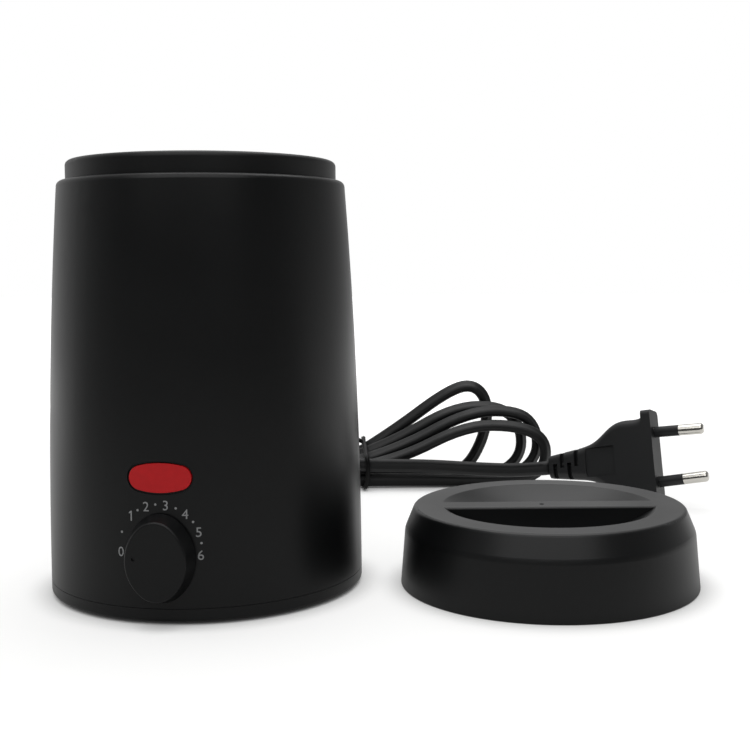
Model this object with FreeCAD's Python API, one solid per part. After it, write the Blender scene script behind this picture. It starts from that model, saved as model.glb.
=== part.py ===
"""Wax warmer pot with its lid set down beside it, its tied mains cord and its plug.

Millimetres. The origin is on the table under the middle of the pot, +Z is up and the dial faces -Y.
"""
import FreeCAD, Part
import math
import os

V = FreeCAD.Vector
UP = V(0, 0, 1)
FRONT = V(0, -1, 0)
RIGHT = V(1, 0, 0)

# Casing
BASE_RADIUS = 44.0
LEDGE_RADIUS = 40.1
LEDGE_HEIGHT = 114.5
SIDE_BULGE = 1.05
WALL = 2.4
LEDGE_THICK = 2.6
LEDGE_ROUND = 1.6
SEAM_HEIGHT = 4.2
SEAM_GAP = 0.12
BASE_LIFT = 0.8
BASE_PLATE = 2.4
BASE_ROUND = 0.9
SPIGOT_WALL = 1.4
SPIGOT_HEIGHT = 2.3
SLIP = 0.4
SEAT_GAP = 0.3

# Posts and screws that hold the base
POST_ANGLES = (45, 135, 225, 315)
POST_RADIUS = 3.6
POST_MARGIN = 0.5
POST_TOP = 26.0
POST_FOOT = 7.0
RIB_THICK = 2.0
SCREW_RADIUS = 1.45
SCREW_HEAD_RADIUS = 2.6
SCREW_HEAD = 1.8
SCREW_LENGTH = 14.0
THREAD_SLIP = 0.05
SCREW_CLEAR = 0.1

# Foot ring and base vents
FOOT_WIDTH = 4.0
FOOT_DEPTH = 1.0
FOOT_MARGIN = 1.4
VENT_COUNT = 10
VENT_LENGTH = 9.0
VENT_WIDTH = 1.8
VENT_RADIUS = 17.0

# Collar, heating well and wax pot
COLLAR_RADIUS = 37.7
COLLAR_HEIGHT = 5.6
COLLAR_WALL = 3.1
COLLAR_ROUND = 1.4
COLLAR_REST = 1.1
SEAT_WIDTH = 1.2
SEAT_DROP = 2.2
SPIGOT_DROP = 3.3
LUG_COUNT = 4
LUG_SPAN = 24
LUG_REACH = 1.0
BAY_HEIGHT = 42.0
WELL_WALL = 1.0
WELL_GAP = 0.8
WELL_ROUND = 3.0
FLANGE_THICK = 1.0
POT_WALL = 0.9
POT_GAP = 0.8
POT_FLOOR_GAP = 0.4
POT_RIM_GAP = 1.0

# Bail handle and its ears
WIRE_RADIUS = 1.1
WIRE_SLIP = 0.05
WIRE_BEND = 2.0
EAR_THICK = 1.5
EAR_WIDTH = 6.0
EAR_INSET = 0.6
EAR_RISE = 1.35
EAR_EDGE = 1.0
STUB_PROUD = 0.7

# Heater
BAND_THICK = 1.6
BAND_GAP = 0.2
BAND_FOOT = 8.0
BAND_HEIGHT = 44.0
BAND_SLIT = 10
STRAP_THICK = 0.5
STRAP_WIDTH = 5.0
STRAP_MARGIN = 6.0
TAB_REACH = 4.0
TAB_THICK = 0.8
TAB_GAP = 5.0
STRAP_SCREW_RADIUS = 1.2
SLEEVE_GAP = 0.5
SLEEVE_SLIT = 28
SLEEVE_TOP_GAP = 5.0
FUSE_RADIUS = 1.9
FUSE_LENGTH = 11.0
FUSE_Y = 8.0
CLIP_THICK = 0.6
CLIP_WIDTH = 5.0
CLIP_FLANGE = 3.4

# Dial and thermostat, measured out from the pot's axis along -Y
DIAL_HEIGHT = 20.6
KNOB_WIDTH = 15.7
KNOB_TALL = 20.2
KNOB_END_RADIUS = 5.9
KNOB_DROP = 3.3
KNOB_DRAFT = 1.35
KNOB_PROUD = 4.9
KNOB_LIFT = 0.45
KNOB_ROUND = 0.7
KNOB_SKIRT = 1.2
KNOB_CAP = 1.9
KNOB_HUB_RADIUS = 3.4
POINTER_ANGLE = 204
POINTER_REACH = 6.0
POINTER_RADIUS = 0.55
POINTER_DEPTH = 0.45
SHAFT_RADIUS = 2.0
SHAFT_SLIP = 0.05
SHAFT_FLAT = 1.5
SHAFT_RING_RADIUS = 3.2
SHAFT_RING = 0.7
THREAD_RADIUS = 3.5
SHOULDER_RADIUS = 5.0
SPOT_RADIUS = 5.5
SPOT_DEPTH = 0.75
NUT_THICK = 2.2
NUT_ACROSS = 8.6
BUSH_PROUD = 0.7
BOSS_RADIUS = 6.0
BOSS_HEIGHT = 1.8
SHOULDER_LENGTH = 4.5
BUSH_TAIL = 1.2
BUSH_TAIL_RADIUS = 4.4
PLATE_THICK = 1.2
PLATE_LEFT = 8.0
PLATE_RIGHT = 19.0
PLATE_TALL = 14.0
STACK_X = 13.0
BEAD_RADIUS = 4.0
BEAD_LENGTH = 3.2
LEAF_THICK = 0.5
LEAF_TALL = 6.0
LEAF_TAB = 4.0
LEAF_TAB_REACH = 8.6
CONTACT_RADIUS = 1.2
CONTACT_X = 6.0
CONTACT_GAP = 0.5
BIMETAL_THICK = 0.8
RIVET_RADIUS = 1.6
RIVET_HEAD_RADIUS = 3.0
RIVET_HEAD = 1.0

# Pilot lamp
LENS_HEIGHT = 37.7
LENS_WIDTH = 16.2
LENS_TALL = 7.5
LENS_END_RADIUS = 3.1
LENS_PROUD = 0.25
LENS_GAP = 0.2
LENS_STEP = 0.4
LENS_STEP_DEPTH = 0.4
LENS_LIP = 1.1
LENS_LIP_THICK = 1.1
HOLDER_WIDTH = 19.0
HOLDER_TALL = 7.4
HOLDER_DEPTH = 5.0
HOLDER_WALL = 1.2
LAMP_RADIUS = 1.8
LAMP_LENGTH = 12.0

# Supply inlet and terminals
INLET_HEIGHT = 11.0
CORD_DIAMETER = 4.4
CORD_SLIP = 0.05
GLAND_NECK = 4.8
GLAND_LIP_RADIUS = 6.4
GLAND_LIP = 2.0
GLAND_LENGTH = 28.0
GLAND_ROOT_RADIUS = 5.0
GLAND_TIP_RADIUS = 3.5
GLAND_RIBS = 5
GLAND_RIB_WIDTH = 1.6
GLAND_RIB_DEPTH = 0.9
BLOCK_LENGTH = 26.0
BLOCK_DEPTH = 10.0
BLOCK_FRONT = 10.0
BLOCK_TALL = 11.0
POLE_PITCH = 8.0
POLE_RADIUS = 1.6
TERMINAL_SCREW_RADIUS = 1.4
TERMINAL_SCREW_RISE = 0.7
CORE_RADIUS = 0.9
CORE_SPREAD = 1.2
CLAMP_SPAN = 9.0
CLAMP_WIDTH = 6.0
CLAMP_THICK = 2.5
LEAD_RADIUS = 0.9
LAMP_LEAD_RADIUS = 0.6

# Lid, set down on the table beside the pot
LID_X = 97.5
LID_Y = 7.4
LID_TURN = 6.8
LID_RADIUS = 42.3
LID_SHOULDER_RADIUS = 41.0
LID_SHOULDER_HEIGHT = 15.7
LID_TOP_RADIUS = 38.3
LID_HEIGHT = 22.2
LID_EDGE_ROUND = 0.5
LID_TOP_ROUND = 1.2
LID_SHOULDER_ROUND = 5.0
LID_RECESS_RADIUS = 30.3
LID_RECESS_DEPTH = 9.0
LID_WALL = 2.2
LID_SLIP = 0.4
BAR_WIDTH = 8.4
BAR_ROUND = 0.6
GATE_RADIUS = 0.7
GATE_DEPTH = 0.4
GATE_OFFSET = 2.0

# Tied hank of cord: along the run, up and away from the viewer
HANK_X = 24.0
HANK_Y = 149.5
HANK_TURN = 6.8
LOOP_STEP = 5.6
LOOP_BACK = 10.0
# height and climb at the tie, then along and up of the crest, then along and up of the far end
RIGHT_LOOPS = (
    (15.2, 31.0, 39.5, 40.0, 51.2, 26.5),
    (13.8, 25.0, 51.0, 33.4, 65.0, 17.0),
    (11.6, 21.0, 56.5, 31.4, 71.4, 17.5),
    (9.8, 14.0, 54.0, 25.4, 73.4, 13.2),
)
FLOOR_BACK = 18.0
WAIST_LOW = 3.9
LEFT_REACH = 58.0
LEFT_REACH_STEP = 2.0
LEFT_APEX = 29.0
LEFT_APEX_FALL = 0.6
TAIL_WAIST = 12.2
TAIL_EXIT = 8.0
ENTRY_BACK = 44.0
ENTRY_ASIDE = 6.0
FLOOR_GAP = 0.15

# Tie round the waist of the hank
TIE_WIDTH = 3.6
TIE_THICK = 1.1
TIE_GAP = 0.4
TIE_TWIST_RADIUS = 0.9
TIE_TWIST_LENGTH = 7.0

# Two-pin plug, lying on its narrow edge
PLUG_X = 138.5
PLUG_Y = 115.4
PLUG_YAW = -20.0
PLUG_TILT = 9.6
PLUG_LEAN = 13.5
PLUG_WIDTH = 35.0
PLUG_THICK = 11.0
PLUG_CORNER = 1.8
FACE_DEPTH = 3.6
# distance behind the face, width, thickness and corner radius of the moulded body
PLUG_STATIONS = (
    (FACE_DEPTH, 30.8, 11.0, 3.0),
    (11.0, 29.0, 10.9, 3.0),
    (15.5, 26.4, 10.7, 3.0),
    (20.0, 19.8, 10.3, 3.0),
    (24.0, 14.8, 9.8, 3.0),
    (28.6, 12.2, 9.2, 3.0),
)
RELIEF_LENGTH = 13.2
RELIEF_TIP_WIDTH = 8.6
RELIEF_TIP_THICK = 7.0
RELIEF_TIP_CORNER = 2.2
RELIEF_SLOTS = 4
RELIEF_SLOT_WIDTH = 1.7
RELIEF_SLOT_FIRST = 0.9
RELIEF_SLOT_PITCH = 2.95
RELIEF_SLOT_PAST = 0.8
RELIEF_CORE_RADIUS = 1.7
RELIEF_WEB = 2.2
GRIP_NEAR = 15.0
GRIP_LENGTH = 11.5
GRIP_WIDTH = 11.0
GRIP_DEPTH = 1.3
PIN_PITCH = 18.6
PIN_TIP_PITCH = 17.5
PIN_LENGTH = 18.2
PIN_ROOT = 8.0
PIN_RADIUS = 2.0
PIN_SLEEVE_LENGTH = 9.2
PIN_SLEEVE_WALL = 0.4

# Free stretches of the cord, as points of the route
LEAD_ROUTE = (
    (0, 84, 11),
    (-5, 97, 7.6),
    (-19, 106, 3.2),
    (-37, 110, 2.35),
    (-55, 116, 2.35),
    (-65, 131, 2.35),
    (-60.5, 148, 2.35),
    (-43.5, 157.6, 2.35),
)
# along the run, away from the viewer and up, in the hank's own frame
TAIL_ROUTE = (
    (23, -12.4, 12.2),
    (45, -16.6, 11.4),
)
TAIL_STRAIGHT = 12.0


def circle_through(a, b, c):
    """Centre and radius of the circle through three (radius, height) points."""
    curve = Part.Arc(V(a[0], a[1], 0), V(b[0], b[1], 0), V(c[0], c[1], 0)).toShape().Curve
    return curve.Center.x, curve.Center.y, curve.Radius


MID_RADIUS = (BASE_RADIUS + LEDGE_RADIUS) / 2 + SIDE_BULGE
SIDE = circle_through((BASE_RADIUS, 0), (MID_RADIUS, LEDGE_HEIGHT / 2), (LEDGE_RADIUS, LEDGE_HEIGHT))


def side_radius(z, inset=0.0):
    """Radius of the casing's side at a height, or of a surface set in from it."""
    centre_r, centre_z, radius = SIDE
    return centre_r + math.sqrt((radius - inset) ** 2 - (z - centre_z) ** 2)


def side_edge(low, high, inset=0.0):
    """The casing's side between two heights, as an arc in the XZ plane."""
    heights = (low, (low + high) / 2, high)
    return Part.Arc(*[V(side_radius(z, inset), 0, z) for z in heights]).toShape()


def chain(*points):
    """Straight edges through (x, z) points in the XZ plane."""
    corners = [V(x, 0, z) for x, z in points]
    return [Part.LineSegment(a, b).toShape() for a, b in zip(corners, corners[1:])]


def turned(edges):
    """Solid of revolution about Z from a closed outline in the XZ plane."""
    return Part.Face(Part.Wire(edges)).revolve(V(), UP, 360)


def turned_outline(*points):
    """Solid of revolution about Z from the corners of its outline."""
    return turned(chain(*points, points[0]))


def ring(inner, outer, low, high):
    """Plain ring about the pot's axis."""
    return turned_outline((inner, low), (outer, low), (outer, high), (inner, high))


def sector(inner, outer, low, high, middle, span):
    """Part of a ring, centred on an angle."""
    corners = chain((inner, low), (outer, low), (outer, high), (inner, high), (inner, low))
    solid = Part.Face(Part.Wire(corners)).revolve(V(), UP, span)
    solid.rotate(V(), UP, middle - span / 2)
    return solid


def rod(radius, start, end):
    """Cylinder between two points."""
    along = end - start
    return Part.makeCylinder(radius, along.Length, start, along)


def block(x0, x1, y0, y1, z0, z1):
    """Box between two corners."""
    return Part.makeBox(x1 - x0, y1 - y0, z1 - z0, V(x0, y0, z0))


def front_rod(radius, near, far, x=0.0, z=DIAL_HEIGHT):
    """Cylinder along -Y between two distances from the pot's axis."""
    return Part.makeCylinder(radius, far - near, V(x, -near, z), FRONT)


def at_angle(radius, degrees, z=0.0):
    """Point at a radius and angle about the pot's axis."""
    angle = math.radians(degrees)
    return V(radius * math.cos(angle), radius * math.sin(angle), z)


def rounded(solid, radius, wanted):
    """Round the edges that a test picks."""
    edges = [edge for edge in solid.Edges if wanted(edge)]
    return solid.makeFillet(radius, edges)


def circle_at(edge, z, radius, tolerance=0.02):
    """Whether an edge is a full circle about Z at a height, with a radius."""
    if edge.Degenerated or not isinstance(edge.Curve, Part.Circle):
        return False
    curve = edge.Curve
    return abs(curve.Center.z - z) < tolerance and abs(curve.Radius - radius) < tolerance


def sweep(path, diameter):
    """Round tube along a smooth wire."""
    start = path.Edges[0]
    direction = start.tangentAt(start.FirstParameter)
    profile = Part.Wire(Part.makeCircle(diameter / 2, start.valueAt(start.FirstParameter), direction))
    pipe = Part.BRepOffsetAPI.MakePipeShell(path)
    pipe.add(profile)
    pipe.build()
    pipe.makeSolid()
    return pipe.shape()


def bent_path(points):
    """Straight runs joined by tangent arcs as large as the runs allow, and the arcs' radii."""
    edges = []
    radii = []
    last = points[0]
    for before, corner, after in zip(points, points[1:], points[2:]):
        back = before - corner
        ahead = after - corner
        half_turn = (math.pi - back.getAngle(ahead)) / 2
        setback = 0.45 * min(back.Length, ahead.Length)
        radii.append(setback / math.tan(half_turn))
        back.normalize()
        ahead.normalize()
        start = corner + back * setback
        end = corner + ahead * setback
        bisector = back + ahead
        bisector.normalize()
        crown = corner + bisector * (radii[-1] / math.cos(half_turn) - radii[-1])
        edges.append(Part.LineSegment(last, start).toShape())
        edges.append(Part.Arc(start, crown, end).toShape())
        last = end
    edges.append(Part.LineSegment(last, points[-1]).toShape())
    return Part.Wire(edges), radii


def bent_tube(points, diameter, name):
    """Tube along a route, with its radii and its volume against section times length printed."""
    path, radii = bent_path(points)
    solid = sweep(path, diameter)
    plain = math.pi / 4 * diameter ** 2 * path.Length
    listed = ", ".join(f"{radius:.1f}" for radius in radii)
    print(f"{name}: length {path.Length:.1f}, radii {listed}, volume share {solid.Volume / plain:.4f}")
    return solid


def biarc(start, start_way, end, end_way):
    """Two tangent arcs between two points with given directions."""
    gap = end - start
    both = start_way + end_way
    spread = 2 * (1 - start_way.dot(end_way))
    along = gap.dot(both)
    if spread < 1e-9:
        reach = gap.dot(gap) / (4 * gap.dot(end_way))
    else:
        reach = (-along + math.sqrt(along ** 2 + spread * gap.dot(gap))) / spread
    first = start + start_way * reach
    second = end - end_way * reach
    middle = (first + second) * 0.5
    return [tangent_arc(start, start_way, middle), tangent_arc(end, end_way * -1, middle, True)]


def tangent_arc(start, way, end, backwards=False):
    """Arc that leaves a point along a direction and ends at another point."""
    chord = end - start
    normal = chord - way * chord.dot(way)
    if normal.Length < 1e-6:
        return Part.LineSegment(*((end, start) if backwards else (start, end))).toShape()
    normal.normalize()
    radius = chord.dot(chord) / (2 * chord.dot(normal))
    centre = start + normal * radius
    outward = (start + end) * 0.5 - centre
    if chord.dot(way) < 0:
        outward = outward * -1
    outward.normalize()
    crown = centre + outward * radius
    return Part.Arc(*((end, crown, start) if backwards else (start, crown, end))).toShape()


def oval(width, tall, end_radius, y, z):
    """Oval outline of four arcs in an XZ plane."""
    a = width / 2
    b = tall / 2
    drop = ((a - end_radius) ** 2 - (b - end_radius) ** 2) / (2 * (b - end_radius))
    large = b + drop
    corner = V(a - end_radius, 0, drop)
    corner.normalize()
    touch = V(0, 0, -drop) + corner * large

    def place(x, height):
        return V(x, y, z + height)

    top = Part.Arc(place(-touch.x, touch.z), place(0, b), place(touch.x, touch.z))
    right = Part.Arc(place(touch.x, touch.z), place(a, 0), place(touch.x, -touch.z))
    bottom = Part.Arc(place(touch.x, -touch.z), place(0, -b), place(-touch.x, -touch.z))
    left = Part.Arc(place(-touch.x, -touch.z), place(-a, 0), place(-touch.x, touch.z))
    return Part.Wire([arc.toShape() for arc in (top, right, bottom, left)])


def oval_prism(grow):
    """Prism of the lens's oval, grown all round, from the pot's axis out through the front."""
    outline = oval(LENS_WIDTH + 2 * grow, LENS_TALL + 2 * grow, LENS_END_RADIUS + grow, 0, LENS_HEIGHT)
    return Part.Face(outline).extrude(FRONT * (2 * BASE_RADIUS))


def knob_outline(grow, out):
    """Upright oval of the knob, grown all round, at a distance out from the pot's axis."""
    middle = DIAL_HEIGHT - KNOB_DROP
    outline = oval(KNOB_TALL + 2 * grow, KNOB_WIDTH + 2 * grow, KNOB_END_RADIUS + grow, -out, middle)
    outline.rotate(V(0, -out, middle), FRONT, 90)
    return outline


# Levels and radii that several pieces share
SHELL_FOOT = SEAM_HEIGHT + SEAM_GAP
BASE_TOP = BASE_LIFT + BASE_PLATE
SPIGOT_OUTER = side_radius(SHELL_FOOT, WALL) - SLIP
POST_CIRCLE = SPIGOT_OUTER - SPIGOT_WALL - POST_MARGIN - POST_RADIUS
SHELL_OPENING = COLLAR_RADIUS - COLLAR_REST
COLLAR_BORE = COLLAR_RADIUS - COLLAR_WALL
COLLAR_TOP = LEDGE_HEIGHT + COLLAR_HEIGHT
SEAT_Z = LEDGE_HEIGHT - SEAT_DROP
SPIGOT_FOOT = SEAT_Z - SPIGOT_DROP
SEAT_BORE = COLLAR_BORE - SEAT_WIDTH
WELL_OUTER = SEAT_BORE - WELL_GAP
WELL_INNER = WELL_OUTER - WELL_WALL
WELL_RIM = SEAT_Z + FLANGE_THICK
POT_OUTER = WELL_INNER - POT_GAP
POT_RIM = WELL_RIM + FLANGE_THICK
POT_FLANGE = COLLAR_BORE - POT_RIM_GAP
POT_FLOOR = BAY_HEIGHT + WELL_WALL + POT_FLOOR_GAP
EAR_OUTER = POT_FLANGE - EAR_INSET
EAR_INNER = EAR_OUTER - EAR_THICK
PIVOT_Z = POT_RIM + EAR_RISE
BAND_INNER = WELL_OUTER + BAND_GAP
BAND_OUTER = BAND_INNER + BAND_THICK
BAND_LOW = BAY_HEIGHT + BAND_FOOT
BAND_HIGH = min(BAND_LOW + BAND_HEIGHT, SPIGOT_FOOT - SLEEVE_TOP_GAP - STRAP_MARGIN)
STRAP_INNER = BAND_OUTER + BAND_GAP / 2
STRAP_OUTER = STRAP_INNER + STRAP_THICK
STRAP_LEVELS = (BAND_LOW + STRAP_MARGIN, BAND_HIGH - STRAP_MARGIN - STRAP_WIDTH)
SLEEVE_HIGH = SPIGOT_FOOT - SLEEVE_TOP_GAP
TAB_OUTER = STRAP_OUTER + TAB_REACH
FUSE_Z = BAY_HEIGHT - SEAT_GAP - FUSE_RADIUS
SHELL_FRONT = side_radius(DIAL_HEIGHT)
SPOT_FACE = SHELL_FRONT - SPOT_DEPTH
BOSS_FACE = side_radius(DIAL_HEIGHT, WALL) - BOSS_HEIGHT
NUT_FACE = SPOT_FACE + NUT_THICK
BUSH_END = NUT_FACE + BUSH_PROUD
PLATE_FRONT = BOSS_FACE - SHOULDER_LENGTH
PLATE_BACK = PLATE_FRONT - PLATE_THICK
BUSH_BACK = PLATE_BACK - BUSH_TAIL
KNOB_BACK = SHELL_FRONT + KNOB_LIFT
KNOB_FACE = SHELL_FRONT + KNOB_PROUD
KNOB_ROOF = KNOB_FACE - KNOB_CAP
LEAF_FRONT = PLATE_BACK - BEAD_LENGTH
LEAF_BACK = LEAF_FRONT - LEAF_THICK - BEAD_LENGTH
BIMETAL_FRONT = LEAF_BACK - LEAF_THICK - BEAD_LENGTH
STACK_BACK = BIMETAL_FRONT - BIMETAL_THICK
LENS_BACK = side_radius(LENS_HEIGHT, WALL) - LENS_LIP_THICK
HOLDER_FRONT = math.sqrt(LENS_BACK ** 2 - (HOLDER_WIDTH / 2) ** 2) - SEAT_GAP
INLET_WALL = side_radius(INLET_HEIGHT)
INLET_WALL_IN = math.sqrt(side_radius(INLET_HEIGHT, WALL) ** 2 - GLAND_LIP_RADIUS ** 2) - SEAT_GAP
GLAND_TIP = INLET_WALL + GLAND_LENGTH
BLOCK_BACK = BLOCK_FRONT + BLOCK_DEPTH
CLAMP_Y = (BLOCK_BACK + INLET_WALL_IN - GLAND_LIP) / 2
CLAMP_SEAT = INLET_HEIGHT + CORD_DIAMETER / 2 + 0.1


def outer_shell():
    """Moulded casing with a ledge at the top, screw posts, and holes for the dial, lens and cord."""
    under_ledge = LEDGE_HEIGHT - LEDGE_THICK
    outline = [side_edge(SHELL_FOOT, LEDGE_HEIGHT)]
    outline += chain((LEDGE_RADIUS, LEDGE_HEIGHT), (SHELL_OPENING, LEDGE_HEIGHT),
                     (SHELL_OPENING, under_ledge), (side_radius(under_ledge, WALL), under_ledge))
    outline += [side_edge(SHELL_FOOT, under_ledge, WALL)]
    outline += chain((side_radius(SHELL_FOOT, WALL), SHELL_FOOT), (side_radius(SHELL_FOOT), SHELL_FOOT))
    shell = turned(Part.sortEdges(outline)[0])
    shell = rounded(shell, LEDGE_ROUND, lambda edge: circle_at(edge, LEDGE_HEIGHT, LEDGE_RADIUS))
    added = [front_rod(BOSS_RADIUS, BOSS_FACE, SHELL_FRONT - WALL / 2)]
    holes = [
        front_rod(THREAD_RADIUS + SCREW_CLEAR, BOSS_FACE - 1, SHELL_FRONT + 1),
        front_rod(SPOT_RADIUS, SPOT_FACE, SHELL_FRONT + 1),
        oval_prism(LENS_GAP),
        lens_skin(-WALL, LENS_STEP_DEPTH, LENS_GAP + LENS_STEP),
        rod(GLAND_NECK + CORD_SLIP, V(0, INLET_WALL_IN - 1, INLET_HEIGHT),
            V(0, INLET_WALL + 1, INLET_HEIGHT)),
    ]
    for angle in POST_ANGLES:
        centre = at_angle(POST_CIRCLE, angle)
        added.append(Part.makeCylinder(POST_RADIUS, POST_TOP - POST_FOOT, centre + UP * POST_FOOT))
        rib = block(POST_CIRCLE, side_radius(POST_TOP) - WALL / 2, -RIB_THICK / 2, RIB_THICK / 2,
                    POST_FOOT, POST_TOP)
        rib.rotate(V(), UP, angle)
        added.append(rib)
        foot = centre + UP * (POST_FOOT - 1)
        holes.append(Part.makeCylinder(SCREW_RADIUS + THREAD_SLIP, SCREW_LENGTH + 2, foot))
    return shell.fuse(added).cut(holes).removeSplitter()


def base_cover():
    """Base plate with its visible rim, locating spigot, screw bosses, vents and foot groove."""
    rim_inner = side_radius(SEAM_HEIGHT, WALL)
    edge_radius = side_radius(BASE_LIFT)
    outline = [Part.LineSegment(V(0, 0, BASE_LIFT), V(edge_radius, 0, BASE_LIFT)).toShape()]
    outline += [side_edge(BASE_LIFT, SEAM_HEIGHT)]
    spigot_top = SEAM_HEIGHT + SPIGOT_HEIGHT
    spigot_inner = SPIGOT_OUTER - SPIGOT_WALL
    outline += chain((side_radius(SEAM_HEIGHT), SEAM_HEIGHT), (rim_inner, SEAM_HEIGHT),
                     (SPIGOT_OUTER, SEAM_HEIGHT), (SPIGOT_OUTER, spigot_top), (spigot_inner, spigot_top),
                     (spigot_inner, BASE_TOP), (0, BASE_TOP), (0, BASE_LIFT))
    cover = turned(outline)
    cover = rounded(cover, BASE_ROUND, lambda edge: circle_at(edge, BASE_LIFT, edge_radius))
    added = []
    groove = foot_radii()
    holes = [ring(groove[0] - CORD_SLIP, groove[1] + CORD_SLIP, BASE_LIFT - 1, BASE_LIFT + FOOT_DEPTH)]
    for angle in POST_ANGLES:
        centre = at_angle(POST_CIRCLE, angle)
        added.append(Part.makeCylinder(POST_RADIUS, POST_FOOT - BASE_TOP, centre + UP * BASE_TOP))
        holes.append(Part.makeCylinder(SCREW_RADIUS + SCREW_CLEAR, POST_FOOT + 1, centre))
        holes.append(Part.makeCylinder(SCREW_HEAD_RADIUS + SCREW_CLEAR, BASE_LIFT + SCREW_HEAD, centre))
    for turn in range(VENT_COUNT):
        slot = block(VENT_RADIUS - VENT_LENGTH / 2, VENT_RADIUS + VENT_LENGTH / 2,
                     -VENT_WIDTH / 2, VENT_WIDTH / 2, BASE_LIFT - 1, BASE_TOP + 1)
        slot.rotate(V(), UP, 360 / VENT_COUNT * (turn + 0.5))
        holes.append(slot)
    clamp_height = CLAMP_SEAT - BASE_TOP
    for side in (-1, 1):
        foot = V(side * CLAMP_SPAN, CLAMP_Y, BASE_TOP)
        added.append(Part.makeCylinder(CLAMP_WIDTH / 2, clamp_height, foot))
        holes.append(Part.makeCylinder(SCREW_RADIUS + THREAD_SLIP, clamp_height, foot + UP))
    notch = GLAND_LIP_RADIUS + SLIP
    holes.append(block(-notch, notch, INLET_WALL_IN - GLAND_LIP - SLIP, BASE_RADIUS, SEAM_HEIGHT, POST_FOOT))
    saddle_top = INLET_HEIGHT - CORD_DIAMETER / 2 - 0.1
    added.append(block(-CLAMP_SPAN / 2, CLAMP_SPAN / 2, CLAMP_Y - CLAMP_WIDTH / 2, CLAMP_Y + CLAMP_WIDTH / 2,
                       BASE_TOP, saddle_top))
    return cover.fuse(added).cut(holes).removeSplitter()


def foot_radii():
    """Inner and outer radius of the foot ring, inside the screws."""
    outer = POST_CIRCLE - POST_RADIUS - FOOT_MARGIN
    return outer - FOOT_WIDTH, outer


def foot_ring():
    """Rubber ring that the pot stands on."""
    inner, outer = foot_radii()
    return ring(inner, outer, 0, BASE_LIFT + FOOT_DEPTH)


def screw(head_radius, head, radius, length, at, way):
    """Pan-head screw with a cross slot: the head's top at a point, the shank along a direction."""
    shank = Part.makeCylinder(radius, length, at + way * head, way)
    body = Part.makeCylinder(head_radius, head, at, way).fuse(shank)
    slots = []
    for turn in (0, 90):
        slot = Part.makeBox(head_radius * 1.2, 0.5, head * 0.6, V(-head_radius * 0.6, -0.25, 0))
        slot.rotate(V(), UP, turn)
        slot.Placement = FreeCAD.Placement(at, FreeCAD.Rotation(UP, way)).multiply(slot.Placement)
        slots.append(slot)
    return body.cut(slots)


def base_screws():
    """Four screws that go up through the base into the casing's posts."""
    heads = [at_angle(POST_CIRCLE, angle, BASE_LIFT) for angle in POST_ANGLES]
    return Part.makeCompound([screw(SCREW_HEAD_RADIUS, SCREW_HEAD, SCREW_RADIUS, SCREW_LENGTH, head, UP)
                              for head in heads])


def rim_collar():
    """Heat-proof collar on the casing's ledge, with a seat for the well and snap lugs below."""
    spigot = SHELL_OPENING - 0.2
    collar = turned_outline((COLLAR_BORE, SEAT_Z), (COLLAR_BORE, COLLAR_TOP), (COLLAR_RADIUS, COLLAR_TOP),
                            (COLLAR_RADIUS, LEDGE_HEIGHT), (spigot, LEDGE_HEIGHT), (spigot, SPIGOT_FOOT),
                            (SEAT_BORE, SPIGOT_FOOT), (SEAT_BORE, SEAT_Z))
    collar = rounded(collar, COLLAR_ROUND, lambda edge: circle_at(edge, COLLAR_TOP, COLLAR_RADIUS)
                     or circle_at(edge, COLLAR_TOP, COLLAR_BORE))
    lug_top = LEDGE_HEIGHT - LEDGE_THICK - 0.2
    lugs = [sector(spigot - 0.5, spigot + LUG_REACH, SPIGOT_FOOT, lug_top, 360 / LUG_COUNT * turn, LUG_SPAN)
            for turn in range(LUG_COUNT)]
    return collar.fuse(lugs).removeSplitter()


def cup(outer, wall, floor, rim, flange):
    """Spun cup with a flat floor, rounded bottom edge and a flange at the rim."""
    body = turned_outline((0, floor), (outer, floor), (outer, rim - FLANGE_THICK),
                          (flange, rim - FLANGE_THICK), (flange, rim), (outer - wall, rim),
                          (outer - wall, floor + wall), (0, floor + wall))
    body = rounded(body, WELL_ROUND, lambda edge: circle_at(edge, floor, outer))
    return rounded(body, WELL_ROUND - wall, lambda edge: circle_at(edge, floor + wall, outer - wall))


def heating_well():
    """Aluminium well that hangs by its flange on the collar's seat."""
    return cup(WELL_OUTER, WELL_WALL, BAY_HEIGHT, WELL_RIM, COLLAR_BORE - SLIP)


def wax_pot():
    """Lift-out pot with two ears for the bail."""
    pot = cup(POT_OUTER, POT_WALL, POT_FLOOR, POT_RIM, POT_FLANGE)
    top = PIVOT_Z + WIRE_RADIUS + EAR_EDGE
    for side in (-1, 1):
        inner = side * EAR_INNER
        outer = side * EAR_OUTER
        low, high = sorted((inner, outer))
        ear = block(low, high, -EAR_WIDTH / 2, EAR_WIDTH / 2, POT_RIM - FLANGE_THICK / 2, top)
        corners = [edge for edge in ear.Edges
                   if edge.Length < EAR_THICK * 1.01 and edge.CenterOfMass.z > top - 0.01]
        ear = ear.makeFillet(EAR_EDGE, corners)
        pot = pot.fuse(ear)
    hole = rod(WIRE_RADIUS + WIRE_SLIP, V(-EAR_OUTER - 1, 0, PIVOT_Z), V(EAR_OUTER + 1, 0, PIVOT_Z))
    return pot.cut(hole).removeSplitter()


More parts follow.
